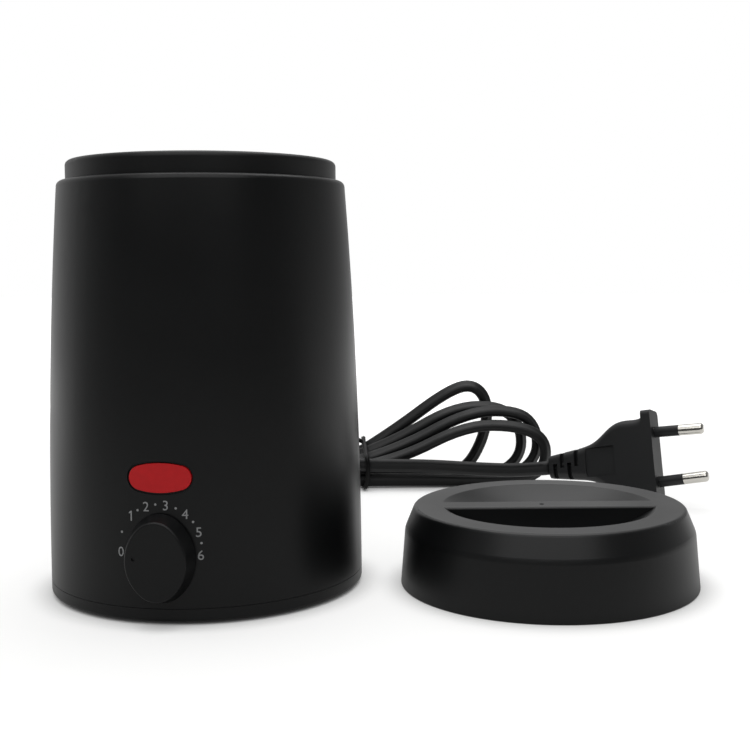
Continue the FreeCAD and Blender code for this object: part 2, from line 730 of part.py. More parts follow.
def bail_handle():
    """Wire bail, folded back over the pot's mouth, with its ends turned out through the ears."""
    end = EAR_OUTER + STUB_PROUD
    knee = EAR_INNER - SLIP
    arch = knee - WIRE_BEND
    z = PIVOT_Z
    slant = WIRE_BEND * math.sqrt(0.5)
    bends = (
        (V(-knee, 0, z), V(-knee + slant, WIRE_BEND - slant, z), V(-arch, WIRE_BEND, z)),
        (V(-arch, WIRE_BEND, z), V(0, arch + WIRE_BEND, z), V(arch, WIRE_BEND, z)),
        (V(arch, WIRE_BEND, z), V(knee - slant, WIRE_BEND - slant, z), V(knee, 0, z)),
    )
    edges = [Part.LineSegment(V(-end, 0, z), V(-knee, 0, z)).toShape()]
    edges += [Part.Arc(*bend).toShape() for bend in bends]
    edges.append(Part.LineSegment(V(knee, 0, z), V(end, 0, z)).toShape())
    return sweep(Part.Wire(edges), 2 * WIRE_RADIUS)


def heater_band():
    """Band heater wrapped round the well, open at the back."""
    return sector(BAND_INNER, BAND_OUTER, BAND_LOW, BAND_HIGH, 270, 360 - BAND_SLIT)


def heater_straps():
    """Two steel straps that draw the band against the well, with tabs for their screws."""
    straps = []
    gap = math.degrees(TAB_GAP / STRAP_INNER)
    for low in STRAP_LEVELS:
        strap = sector(STRAP_INNER, STRAP_OUTER, low, low + STRAP_WIDTH, 270, 360 - gap)
        middle = low + STRAP_WIDTH / 2
        for side in (-1, 1):
            near, far = sorted((side * TAB_GAP / 2, side * (TAB_GAP / 2 + TAB_THICK)))
            tab = block(near, far, STRAP_INNER + STRAP_THICK / 2, TAB_OUTER, low, low + STRAP_WIDTH)
            strap = strap.fuse(tab)
        y = TAB_OUTER - STRAP_SCREW_RADIUS * 1.5
        hole = rod(STRAP_SCREW_RADIUS + THREAD_SLIP, V(-TAB_GAP, y, middle), V(TAB_GAP, y, middle))
        straps.append(strap.cut(hole))
    return Part.makeCompound(straps)


def strap_screws():
    """Screws across the straps' tabs."""
    y = TAB_OUTER - STRAP_SCREW_RADIUS * 1.5
    head_x = TAB_GAP / 2 + TAB_THICK + SCREW_HEAD
    length = TAB_GAP + 3 * TAB_THICK
    return Part.makeCompound([screw(STRAP_SCREW_RADIUS * 1.5, SCREW_HEAD, STRAP_SCREW_RADIUS, length,
                                    V(head_x, y, low + STRAP_WIDTH / 2), RIGHT * -1) for low in STRAP_LEVELS])


def insulation_sleeve():
    """Fibre sleeve between the heater and the casing, open at the back for the straps' tabs."""
    outer = side_radius(SLEEVE_HIGH, WALL) - SLEEVE_GAP
    return sector(STRAP_OUTER + SEAT_GAP, outer, BAND_LOW - 2, SLEEVE_HIGH, 270, 360 - SLEEVE_SLIT)


def thermal_fuse():
    """Cut-out capsule under the well, with a necked end at each side."""
    half = FUSE_LENGTH / 2
    body = rod(FUSE_RADIUS, V(-half + 1, FUSE_Y, FUSE_Z), V(half, FUSE_Y, FUSE_Z))
    neck = rod(FUSE_RADIUS / 2, V(-half, FUSE_Y, FUSE_Z), V(-half + 1, FUSE_Y, FUSE_Z))
    return body.fuse(neck).removeSplitter()


def fuse_clip():
    """Sheet clip that holds the fuse up against the well's floor."""
    inner = FUSE_RADIUS + 0.2
    outer = inner + CLIP_THICK
    start = V(-CLIP_WIDTH / 2, FUSE_Y, FUSE_Z)
    end = V(CLIP_WIDTH / 2, FUSE_Y, FUSE_Z)
    half = CLIP_WIDTH / 2
    cradle = rod(outer, start, end)
    cradle = cradle.cut(block(-half, half, FUSE_Y - outer, FUSE_Y + outer, FUSE_Z, FUSE_Z + outer))
    cradle = cradle.fuse(block(-half, half, FUSE_Y - outer, FUSE_Y + outer, FUSE_Z, BAY_HEIGHT))
    cradle = cradle.fuse(block(-half, half, FUSE_Y - outer - CLIP_FLANGE, FUSE_Y + outer + CLIP_FLANGE,
                               BAY_HEIGHT - CLIP_THICK, BAY_HEIGHT))
    cradle = cradle.cut(rod(inner, start - RIGHT, end + RIGHT))
    space = block(-half - 1, half + 1, FUSE_Y - inner, FUSE_Y + inner, FUSE_Z, BAY_HEIGHT + 1)
    return cradle.cut(space).removeSplitter()


def dial_knob():
    """Upright oval knob, hollow behind, with a hub on the shaft and a pointer dimple in its face."""
    knob = Part.makeLoft([knob_outline(KNOB_DRAFT, KNOB_BACK), knob_outline(0, KNOB_FACE)], True, True)
    knob = rounded(knob, KNOB_ROUND, lambda edge: edge.BoundBox.YMax < 0.01 - KNOB_FACE)
    hollow = Part.Face(knob_outline(-KNOB_SKIRT, KNOB_BACK)).extrude(FRONT * (KNOB_ROOF - KNOB_BACK))
    hub = front_rod(KNOB_HUB_RADIUS, BUSH_END + SEAT_GAP, KNOB_ROOF)
    bore = front_rod(SHAFT_RADIUS + SHAFT_SLIP, BUSH_END, shaft_tip() + 0.2)
    flat = block(-SHAFT_RADIUS * 2, SHAFT_RADIUS * 2, -KNOB_FACE, -BUSH_END,
                 DIAL_HEIGHT + SHAFT_FLAT + SHAFT_SLIP, DIAL_HEIGHT + SHAFT_RADIUS * 2)
    pointer = at_angle(POINTER_REACH, POINTER_ANGLE)
    dimple = front_rod(POINTER_RADIUS, KNOB_FACE - POINTER_DEPTH, KNOB_FACE + 1,
                       pointer.x, DIAL_HEIGHT + pointer.y)
    return knob.cut([hollow.cut(hub), bore.cut(flat), dimple]).removeSplitter()


def shaft_tip():
    """Distance out of the shaft's front end, inside the knob's cap."""
    return KNOB_FACE - KNOB_CAP / 2


def thermostat_shaft():
    """Shaft with a flat for the knob and a retaining ring behind the bush."""
    shaft = front_rod(SHAFT_RADIUS, LEAF_FRONT + SEAT_GAP, shaft_tip())
    flat = block(-SHAFT_RADIUS * 2, SHAFT_RADIUS * 2, -shaft_tip() - 1, -BUSH_END,
                 DIAL_HEIGHT + SHAFT_FLAT, DIAL_HEIGHT + SHAFT_RADIUS * 2)
    keeper = front_rod(SHAFT_RING_RADIUS, BUSH_BACK - SEAT_GAP - SHAFT_RING, BUSH_BACK - SEAT_GAP)
    return shaft.cut(flat).fuse(keeper).removeSplitter()


def thermostat_bush():
    """Threaded bush that carries the shaft through the plate and the casing."""
    bush = front_rod(THREAD_RADIUS, BUSH_BACK, BUSH_END)
    bush = bush.fuse(front_rod(SHOULDER_RADIUS, PLATE_FRONT, BOSS_FACE))
    bush = bush.fuse(front_rod(BUSH_TAIL_RADIUS, BUSH_BACK, PLATE_BACK))
    return bush.cut(front_rod(SHAFT_RADIUS + SHAFT_SLIP, BUSH_BACK - 1, BUSH_END + 1)).removeSplitter()


def thermostat_nut():
    """Hexagon nut on the bush, hidden under the knob."""
    corner = NUT_ACROSS / 2 / math.cos(math.pi / 6)
    points = []
    for turn in range(7):
        place = at_angle(corner, 60 * turn)
        points.append(V(place.x, -SPOT_FACE, DIAL_HEIGHT + place.y))
    nut = Part.Face(Part.makePolygon(points)).extrude(FRONT * NUT_THICK)
    return nut.cut(front_rod(THREAD_RADIUS + SCREW_CLEAR, SPOT_FACE - 1, NUT_FACE + 1))


def thermostat_plate():
    """Steel plate that carries the bush and the contact stack."""
    plate = block(-PLATE_LEFT, PLATE_RIGHT, -PLATE_FRONT, -PLATE_BACK,
                  DIAL_HEIGHT - PLATE_TALL / 2, DIAL_HEIGHT + PLATE_TALL / 2)
    holes = [front_rod(THREAD_RADIUS + SCREW_CLEAR, PLATE_BACK - 1, PLATE_FRONT + 1),
             front_rod(RIVET_RADIUS + SCREW_CLEAR, PLATE_BACK - 1, PLATE_FRONT + 1, STACK_X)]
    return plate.cut(holes)


def thermostat_beads():
    """Three ceramic beads that keep the leaves apart."""
    beads = []
    for near in (LEAF_FRONT, LEAF_BACK, BIMETAL_FRONT):
        bead = front_rod(BEAD_RADIUS, near, near + BEAD_LENGTH, STACK_X)
        bore = front_rod(RIVET_RADIUS + SCREW_CLEAR, near - 1, near + BEAD_LENGTH + 1, STACK_X)
        beads.append(bead.cut(bore))
    return Part.makeCompound(beads)


def leaf(front, left, tab_up):
    """Spring leaf across the stack, with a terminal tab up or down."""
    half = LEAF_TALL / 2
    back = front - LEAF_THICK
    right = STACK_X + BEAD_RADIUS
    strip = block(left, right, -front, -back, DIAL_HEIGHT - half, DIAL_HEIGHT + half)
    reach = half + LEAF_TAB_REACH
    low, high = (half, reach) if tab_up else (-reach, -half)
    tab = block(STACK_X - LEAF_TAB / 2, STACK_X + LEAF_TAB / 2, -front, -back,
                DIAL_HEIGHT + low, DIAL_HEIGHT + high)
    hole = front_rod(RIVET_RADIUS + SCREW_CLEAR, back - 1, front + 1, STACK_X)
    return strip.fuse(tab).cut(hole)


def contact_leaves():
    """Two leaves with their contact buttons facing."""
    leaf_back = LEAF_FRONT - LEAF_THICK
    between = leaf_back - LEAF_BACK
    button = (between - CONTACT_GAP) / 2
    moving = leaf(LEAF_FRONT, -SHAFT_RADIUS * 1.5, False)
    moving = moving.fuse(front_rod(CONTACT_RADIUS, leaf_back - button, leaf_back, CONTACT_X))
    fixed = leaf(LEAF_BACK, CONTACT_X - 2 * CONTACT_RADIUS, True)
    fixed = fixed.fuse(front_rod(CONTACT_RADIUS, LEAF_BACK, LEAF_BACK + button, CONTACT_X))
    return Part.makeCompound([moving.removeSplitter(), fixed.removeSplitter()])


def bimetal_strip():
    """Bimetal behind the contact stack."""
    half = LEAF_TALL / 2
    strip = block(-PLATE_LEFT / 2, STACK_X + BEAD_RADIUS, -BIMETAL_FRONT, -STACK_BACK,
                  DIAL_HEIGHT - half, DIAL_HEIGHT + half)
    return strip.cut(front_rod(RIVET_RADIUS + SCREW_CLEAR, STACK_BACK - 1, BIMETAL_FRONT + 1, STACK_X))


def thermostat_rivet():
    """Rivet through the plate, the beads and the leaves."""
    shank = front_rod(RIVET_RADIUS, STACK_BACK, PLATE_FRONT, STACK_X)
    front_head = front_rod(RIVET_HEAD_RADIUS, PLATE_FRONT, PLATE_FRONT + RIVET_HEAD, STACK_X)
    back_head = front_rod(RIVET_HEAD_RADIUS, STACK_BACK - RIVET_HEAD, STACK_BACK, STACK_X)
    return shank.fuse([front_head, back_head]).removeSplitter()


def side_shell(inset_out, inset_in, low, high):
    """Skin between two surfaces set in from the casing's side."""
    edges = [side_edge(low, high, inset_out)]
    edges += chain((side_radius(high, inset_out), high), (side_radius(high, inset_in), high))
    edges += [side_edge(low, high, inset_in)]
    edges += chain((side_radius(low, inset_in), low), (side_radius(low, inset_out), low))
    return turned(Part.sortEdges(edges)[0])


def lens_skin(inset_out, inset_in, grow):
    """Oval patch that follows the casing's side, between two depths."""
    skin = side_shell(inset_out, inset_in, LENS_HEIGHT - LENS_TALL, LENS_HEIGHT + LENS_TALL)
    return skin.common(oval_prism(grow))


def indicator_lens():
    """Red oval lens that follows the casing, with a lip behind the wall."""
    window = lens_skin(-LENS_PROUD, WALL + LENS_GAP, 0)
    lip = lens_skin(WALL + LENS_GAP, WALL + LENS_LIP_THICK, LENS_LIP)
    return window.fuse(lip).removeSplitter()


def lamp_holder():
    """Open-fronted cradle behind the lens."""
    front = -HOLDER_FRONT
    back = front + HOLDER_DEPTH
    half = HOLDER_WIDTH / 2
    tall = HOLDER_TALL / 2
    wall = HOLDER_WALL
    body = block(-half, half, front, back, LENS_HEIGHT - tall, LENS_HEIGHT + tall)
    space = block(-half + wall, half - wall, front - 1, back - wall,
                  LENS_HEIGHT - tall + wall, LENS_HEIGHT + tall - wall)
    return body.cut(space)


def neon_lamp():
    """Small glass lamp lying across the cradle."""
    y = -HOLDER_FRONT + HOLDER_DEPTH - HOLDER_WALL - LAMP_RADIUS - SEAT_GAP / 2
    half = LAMP_LENGTH / 2
    tube = rod(LAMP_RADIUS, V(-half, y, LENS_HEIGHT), V(half, y, LENS_HEIGHT))
    return rounded(tube, LAMP_RADIUS * 0.6, lambda edge: isinstance(edge.Curve, Part.Circle))


def cord_gland():
    """Moulded strain relief: a lip each side of the casing's wall and a tapered, ribbed tail."""
    z = INLET_HEIGHT
    root = INLET_WALL + GLAND_LIP
    gland = rod(GLAND_NECK, V(0, INLET_WALL_IN - GLAND_LIP, z), V(0, root, z))
    gland = gland.fuse(rod(GLAND_LIP_RADIUS, V(0, INLET_WALL_IN - GLAND_LIP, z), V(0, INLET_WALL_IN, z)))
    gland = gland.fuse(rod(GLAND_LIP_RADIUS, V(0, INLET_WALL + CORD_SLIP, z), V(0, root, z)))
    tail = GLAND_TIP - root
    gland = gland.fuse(Part.makeCone(GLAND_ROOT_RADIUS, GLAND_TIP_RADIUS, tail, V(0, root, z), V(0, 1, 0)))
    pitch = tail / (GLAND_RIBS + 1)
    grooves = []
    for rib in range(GLAND_RIBS):
        y = root + pitch * (rib + 0.6)
        here = GLAND_ROOT_RADIUS + (GLAND_TIP_RADIUS - GLAND_ROOT_RADIUS) * (y - root) / tail
        outer = rod(GLAND_ROOT_RADIUS + 1, V(0, y, z), V(0, y + GLAND_RIB_WIDTH, z))
        inner = rod(here - GLAND_RIB_DEPTH, V(0, y - 1, z), V(0, y + GLAND_RIB_WIDTH + 1, z))
        grooves.append(outer.cut(inner))
    bore = rod(CORD_DIAMETER / 2 + CORD_SLIP, V(0, INLET_WALL_IN - GLAND_LIP - 1, z), V(0, GLAND_TIP + 1, z))
    return gland.cut(grooves).cut(bore).removeSplitter()


def supply_tail():
    """The cord's stretch inside the gland and under the clamp."""
    return rod(CORD_DIAMETER / 2, V(0, BLOCK_BACK + 4, INLET_HEIGHT), V(0, GLAND_TIP, INLET_HEIGHT))


def supply_cores():
    """The cord's two cores, spread to the outer poles of the terminal block."""
    cores = []
    for side in (-1, 1):
        start = V(side * CORE_SPREAD, BLOCK_BACK + 4 - CORE_RADIUS - CORD_SLIP, INLET_HEIGHT)
        end = V(side * POLE_PITCH, BLOCK_BACK + SEAT_GAP + CORE_RADIUS, INLET_HEIGHT)
        cores.append(rod(CORE_RADIUS, start, end))
    return Part.makeCompound(cores)


def cord_clamp():
    """Bar that holds the cord down on the base."""
    reach = CLAMP_SPAN + CLAMP_WIDTH / 2
    bar = block(-reach, reach, CLAMP_Y - CLAMP_WIDTH / 2, CLAMP_Y + CLAMP_WIDTH / 2,
                CLAMP_SEAT, CLAMP_SEAT + CLAMP_THICK)
    feet = [V(side * CLAMP_SPAN, CLAMP_Y, CLAMP_SEAT - 1) for side in (-1, 1)]
    return bar.cut([Part.makeCylinder(SCREW_RADIUS + SCREW_CLEAR, CLAMP_THICK + 2, foot) for foot in feet])


def clamp_screws():
    """Two screws of the cord clamp."""
    top = CLAMP_SEAT + CLAMP_THICK + SCREW_HEAD
    return Part.makeCompound([screw(SCREW_HEAD_RADIUS, SCREW_HEAD, SCREW_RADIUS, CLAMP_THICK + 5,
                                    V(side * CLAMP_SPAN, CLAMP_Y, top), UP * -1) for side in (-1, 1)])


def pole_places():
    """X of each pole of the terminal block."""
    return (-POLE_PITCH, 0, POLE_PITCH)


def screw_rows():
    """Y of the two rows of terminal screws."""
    return BLOCK_FRONT + BLOCK_DEPTH / 4, BLOCK_BACK - BLOCK_DEPTH / 4


def terminal_block():
    """Three-pole terminal block on the base."""
    top = BASE_TOP + BLOCK_TALL
    body = block(-BLOCK_LENGTH / 2, BLOCK_LENGTH / 2, BLOCK_FRONT, BLOCK_BACK, BASE_TOP, top)
    holes = []
    for x in pole_places():
        holes.append(rod(POLE_RADIUS, V(x, BLOCK_FRONT - 1, INLET_HEIGHT),
                         V(x, BLOCK_BACK + 1, INLET_HEIGHT)))
        for y in screw_rows():
            holes.append(rod(TERMINAL_SCREW_RADIUS + THREAD_SLIP, V(x, y, INLET_HEIGHT), V(x, y, top + 1)))
    for x in (-POLE_PITCH / 2, POLE_PITCH / 2):
        holes.append(block(x - 0.8, x + 0.8, BLOCK_FRONT - 1, BLOCK_BACK + 1, top - 2.5, top + 1))
    return body.cut(holes)


def terminal_screws():
    """Six clamping screws of the terminal block."""
    top = BASE_TOP + BLOCK_TALL + TERMINAL_SCREW_RISE
    screws = []
    for x in pole_places():
        for y in screw_rows():
            pin = rod(TERMINAL_SCREW_RADIUS, V(x, y, INLET_HEIGHT + POLE_RADIUS / 2), V(x, y, top))
            screws.append(pin.cut(block(x - 2, x + 2, y - 0.3, y + 0.3, top - 0.8, top + 1)))
    return Part.makeCompound(screws)


def wire_lead(points, radius, name):
    """Insulated lead inside the casing."""
    return bent_tube([V(*point) for point in points], 2 * radius, name)


def band_tail(side):
    """Where a heater tail leaves the band's lower edge."""
    tail = at_angle((BAND_INNER + BAND_OUTER) / 2, 90 - side * (BAND_SLIT / 2 + 10))
    return tail.x, tail.y, BAND_LOW - SEAT_GAP


def live_lead():
    """From the terminal block to the thermostat's moving leaf."""
    x = -POLE_PITCH
    z = INLET_HEIGHT
    leaf_y = -(LEAF_FRONT - LEAF_THICK) + SEAT_GAP
    points = ((x, BLOCK_FRONT - SEAT_GAP, z), (x, 0, z), (0, -12, z), (STACK_X, -16, z), (STACK_X, leaf_y, z))
    return wire_lead(points, LEAD_RADIUS, "live_lead")


def neutral_lead():
    """From the heater band down to the terminal block."""
    x, y, z = band_tail(1)
    low = INLET_HEIGHT
    points = ((x, y, z), (x, y, z - 12), (18, 20, 30), (18, 2, 20), (13, -4, low), (POLE_PITCH, 0, low),
              (POLE_PITCH, BLOCK_FRONT - SEAT_GAP, low))
    return wire_lead(points, LEAD_RADIUS, "neutral_lead")


def fuse_leads():
    """From the heater band to the fuse, and from the fuse to the thermostat's fixed leaf."""
    x, y, z = band_tail(-1)
    half = FUSE_LENGTH / 2 + SEAT_GAP
    first = ((x, y, z), (x, y, z - 13), (-12, 18, FUSE_Z - 6), (-13, FUSE_Y, FUSE_Z), (-half, FUSE_Y, FUSE_Z))
    tab_z = DIAL_HEIGHT + LEAF_TALL / 2 + LEAF_TAB_REACH * 0.7
    tab_y = -(LEAF_BACK - LEAF_THICK) + SEAT_GAP
    second = ((half, FUSE_Y, FUSE_Z), (13, FUSE_Y, FUSE_Z), (STACK_X, -3, FUSE_Z - 6), (STACK_X, -14, tab_z),
              (STACK_X, tab_y, tab_z))
    return Part.makeCompound([wire_lead(first, LEAD_RADIUS, "fuse_lead"),
                              wire_lead(second, LEAD_RADIUS, "switched_lead")])


def lamp_leads():
    """Two thin leads from the pilot lamp to the terminal block."""
    back = -HOLDER_FRONT + HOLDER_DEPTH + SEAT_GAP
    leads = []
    for side in (-1, 1):
        x = side * 4
        end = side * 0.9
        points = ((x, back, LENS_HEIGHT), (x, back + 10, LENS_HEIGHT - 2), (x, -10, 24),
                  (end, 0, INLET_HEIGHT), (end, BLOCK_FRONT - SEAT_GAP, INLET_HEIGHT))
        leads.append(wire_lead(points, LAMP_LEAD_RADIUS, "lamp_lead"))
    return Part.makeCompound(leads)


def bowl_edge(radius, centre, far):
    """Arc in the XZ plane from the axis out to a radius, along the underside of a sphere."""
    points = [V(r, 0, centre - math.sqrt(radius ** 2 - r ** 2)) for r in (0, far / 2, far)]
    return Part.Arc(*points).toShape(), points[0].z


def lid():
    """Moulded lid with a dished finger recess, a crossbar flush with its top, and a hollow underside."""
    skirt = COLLAR_RADIUS + LID_SLIP
    roof = LID_HEIGHT - LID_WALL
    dish = (LID_RECESS_RADIUS ** 2 + LID_RECESS_DEPTH ** 2) / (2 * LID_RECESS_DEPTH)
    centre = LID_HEIGHT - LID_RECESS_DEPTH + dish
    under_far = math.sqrt((dish + LID_WALL) ** 2 - (centre - roof) ** 2)
    top, top_low = bowl_edge(dish, centre, LID_RECESS_RADIUS)
    under, under_low = bowl_edge(dish + LID_WALL, centre, under_far)
    outline = [top, under]
    outline += chain((under_far, roof), (LID_TOP_RADIUS - LID_WALL, roof), (skirt, LID_SHOULDER_HEIGHT),
                     (skirt, 0), (LID_RADIUS, 0), (LID_SHOULDER_RADIUS, LID_SHOULDER_HEIGHT),
                     (LID_TOP_RADIUS, LID_HEIGHT), (LID_RECESS_RADIUS, LID_HEIGHT))
    outline += chain((0, top_low), (0, under_low))
    body = turned(Part.sortEdges(outline)[0])
    body = rounded(body, LID_SHOULDER_ROUND,
                   lambda edge: circle_at(edge, LID_SHOULDER_HEIGHT, LID_SHOULDER_RADIUS))
    body = rounded(body, LID_TOP_ROUND, lambda edge: circle_at(edge, LID_HEIGHT, LID_TOP_RADIUS))
    body = rounded(body, LID_EDGE_ROUND, lambda edge: circle_at(edge, LID_HEIGHT, LID_RECESS_RADIUS)
                   or circle_at(edge, 0, LID_RADIUS))
    reach = LID_RECESS_RADIUS + LID_WALL / 2
    bar = block(-reach, reach, -BAR_WIDTH / 2, BAR_WIDTH / 2, under_low, LID_HEIGHT)
    long_edges = [edge for edge in bar.Edges if edge.Length > 2 * reach - 0.1 and edge.CenterOfMass.z > roof]
    bar = bar.makeFillet(BAR_ROUND, long_edges)
    bar = bar.common(Part.makeSphere(dish + LID_WALL / 2, V(0, 0, centre)))
    slot_half = BAR_WIDTH / 2 - LID_WALL
    slot = block(-LID_RECESS_RADIUS, LID_RECESS_RADIUS, -slot_half, slot_half, 0, roof)
    gate = Part.makeCylinder(GATE_RADIUS, GATE_DEPTH, V(-GATE_OFFSET, 0, LID_HEIGHT - GATE_DEPTH))
    body = body.fuse(bar).cut([slot, gate]).removeSplitter()
    body.rotate(V(), UP, LID_TURN)
    body.translate(V(LID_X, LID_Y, 0))
    return body


def hank_place(along, away, up):
    """Point of the hank's frame in the part's frame."""
    turn = math.radians(HANK_TURN)
    x = along * math.cos(turn) - away * math.sin(turn)
    y = along * math.sin(turn) + away * math.cos(turn)
    return V(HANK_X + x, HANK_Y + y, up)


def hank_way(climb):
    """Direction in the plane of the loops, as an angle above the run."""
    angle = math.radians(climb)
    return hank_place(math.cos(angle), 0, math.sin(angle)) - hank_place(0, 0, 0)


def layer(loop):
    """How far a loop stands away from the viewer, from the back loop forwards."""
    return LOOP_BACK - LOOP_STEP * loop


def floor_height():
    """Height of the cord's middle where it lies on the table."""
    return CORD_DIAMETER / 2 + FLOOR_GAP


def hank_stations():
    """Points and directions of the hank, a quarter turn apart, from the lead to the tail."""
    low = floor_height()
    stations = [(-ENTRY_BACK, layer(0) + ENTRY_ASIDE, low, 0)]
    for loop, (waist, climb, crest, crest_up, reach, reach_up) in enumerate(RIGHT_LOOPS):
        away = layer(loop)
        ahead = layer(loop + 1)
        stations.append((0, away, waist, climb))
        stations.append((crest, away, crest_up, 0))
        stations.append((reach, away, reach_up, -90))
        stations.append((reach - min(FLOOR_BACK, reach_up - low + CORD_DIAMETER / 2), away, low, 180))
        stations.append((0, away, WAIST_LOW, 180))
        left = LEFT_REACH + LEFT_REACH_STEP * loop
        left_apex = LEFT_APEX - LEFT_APEX_FALL * loop
        half = (left_apex - low) / 2
        stations.append((half - left, ahead, low, 180))
        stations.append((-left, ahead, low + half, 90))
        stations.append((half - left, ahead, left_apex, 0))
    stations.append((0, layer(len(RIGHT_LOOPS)), TAIL_WAIST, 0))
    return stations


def hank_path():
    """The hank's wire: biarcs between its stations, with a straight diameter at each end."""
    stations = [(hank_place(*station[:3]), hank_way(station[3])) for station in hank_stations()]
    first, way = stations[0]
    edges = [Part.LineSegment(first - way * CORD_DIAMETER, first).toShape()]
    for (start, start_way), (end, end_way) in zip(stations, stations[1:]):
        edges += biarc(start, start_way, end, end_way)
    last, way = stations[-1]
    edges.append(Part.LineSegment(last, last + way * TAIL_EXIT).toShape())
    return Part.Wire(edges)


def least_self_gap(path, diameter):
    """Least clear gap between stretches of a tube that are not next to each other."""
    points = path.discretize(Distance=1.5)
    apart = int(6 * diameter / 1.5)
    least = min((a - b).Length for index, a in enumerate(points) for b in points[index + apart:])
    return least - diameter


def cord_hank():
    """The cord's tied loops, one unbroken tube."""
    path = hank_path()
    radii = [edge.Curve.Radius for edge in path.Edges if isinstance(edge.Curve, Part.Circle)]
    solid = sweep(path, CORD_DIAMETER)
    plain = math.pi / 4 * CORD_DIAMETER ** 2 * path.Length
    gap = least_self_gap(path, CORD_DIAMETER)
    print(f"cord_hank: length {path.Length:.1f}, least radius {min(radii):.1f}, "
          f"least gap to itself {gap:.2f}, volume share {solid.Volume / plain:.4f}")
    return solid


def cord_lead():
    """The cord from the gland's tip round to the hank."""
    start = V(0, GLAND_TIP, INLET_HEIGHT)
    end = hank_place(-ENTRY_BACK - CORD_DIAMETER, layer(0) + ENTRY_ASIDE, floor_height())
    return bent_tube([start] + [V(*point) for point in LEAD_ROUTE] + [end], CORD_DIAMETER, "cord_lead")


def plug_placed(shape):
    """Move a piece of the plug from its own frame, pins along +X and face at 0, to where it lies."""
    spin = FreeCAD.Rotation(PLUG_YAW, -PLUG_TILT, -PLUG_LEAN)
    edge = rounded_section(FACE_DEPTH, PLUG_WIDTH, PLUG_THICK, PLUG_CORNER)
    lowest = min(spin.multVec(point).z for point in edge.discretize(Number=200))
    placed = shape.copy()
    rest = FreeCAD.Placement(V(PLUG_X, PLUG_Y, FLOOR_GAP - lowest), spin)
    placed.Placement = rest.multiply(shape.Placement)
    return placed


def plug_point(x):
    """A point on the plug's middle line, behind its face where x is negative."""
    return plug_placed(Part.Vertex(x, 0, 0)).Point


def rounded_section(behind, width, thick, corner):
    """Rounded rectangle across the plug, at a distance behind its face."""
    y = thick / 2
    z = width / 2
    slant = corner * (1 - math.sqrt(0.5))
    x = -behind
    arcs = []
    lines = []
    ends = []
    for sy, sz in ((1, 1), (-1, 1), (-1, -1), (1, -1)):
        a = V(x, sy * y, sz * (z - corner))
        b = V(x, sy * (y - corner), sz * z)
        mid = V(x, sy * (y - slant), sz * (z - slant))
        if sy * sz < 0:
            a, b = b, a
        arcs.append(Part.Arc(a, mid, b).toShape())
        ends.append((a, b))
    for (_, leave), (arrive, _) in zip(ends, ends[1:] + ends[:1]):
        lines.append(Part.LineSegment(leave, arrive).toShape())
    return Part.Wire([edge for pair in zip(arcs, lines) for edge in pair])


def relief_end():
    """Distance of the strain relief's tip behind the plug's face."""
    return PLUG_STATIONS[-1][0] + RELIEF_LENGTH


def plug_body():
    """Moulded two-pin plug with a stepped face, finger grips and a slotted strain relief."""
    face = Part.makeLoft([rounded_section(0, PLUG_WIDTH, PLUG_THICK, PLUG_CORNER),
                          rounded_section(FACE_DEPTH, PLUG_WIDTH, PLUG_THICK, PLUG_CORNER)], True, True)
    body = Part.makeLoft([rounded_section(*station) for station in PLUG_STATIONS], True, False)
    tip = rounded_section(relief_end(), RELIEF_TIP_WIDTH, RELIEF_TIP_THICK, RELIEF_TIP_CORNER)
    relief = Part.makeLoft([rounded_section(*PLUG_STATIONS[-1]), tip], True, True)
    slots = []
    for turn in range(RELIEF_SLOTS):
        x = -PLUG_STATIONS[-1][0] - RELIEF_SLOT_FIRST - RELIEF_SLOT_PITCH * turn
        low, high = (-RELIEF_SLOT_PAST, PLUG_WIDTH) if turn % 2 == 0 else (-PLUG_WIDTH, RELIEF_SLOT_PAST)
        for near, far in ((-PLUG_THICK, -RELIEF_WEB / 2), (RELIEF_WEB / 2, PLUG_THICK)):
            slots.append(block(x - RELIEF_SLOT_WIDTH, x, near, far, low, high))
    core = rod(RELIEF_CORE_RADIUS, V(-PLUG_STATIONS[-1][0], 0, 0), V(-relief_end(), 0, 0))
    relief = relief.cut(slots).fuse(core)
    grips = []
    for side in (-1, 1):
        outline = [V(-GRIP_NEAR - GRIP_LENGTH * along, side * PLUG_THICK, GRIP_WIDTH * up)
                   for along, up in ((0, -0.5), (1, -0.5), (1, 0.5), (0, 0.5), (0, -0.5))]
        depth = PLUG_THICK - grip_floor()
        grips.append(Part.Face(Part.makePolygon(outline)).extrude(V(0, -side * depth, 0)))
    bores = [pin_rod(side, PIN_RADIUS + THREAD_SLIP, -PIN_ROOT, 1) for side in (-1, 1)]
    return plug_placed(face.fuse([body, relief]).cut(grips).cut(bores).removeSplitter())


def grip_floor():
    """Half thickness of the plug at the floor of its finger grips."""
    thinnest = min(station[2] for station in PLUG_STATIONS if station[0] <= GRIP_NEAR + GRIP_LENGTH)
    return thinnest / 2 - GRIP_DEPTH / 2


def pin_rod(side, radius, start, end):
    """Cylinder along one pin between two distances from the face."""
    lean = (PIN_TIP_PITCH - PIN_PITCH) / 2 / PIN_LENGTH

    def on_axis(x):
        return V(x, 0, side * (PIN_PITCH / 2 + lean * x))

    return rod(radius, on_axis(start), on_axis(end))


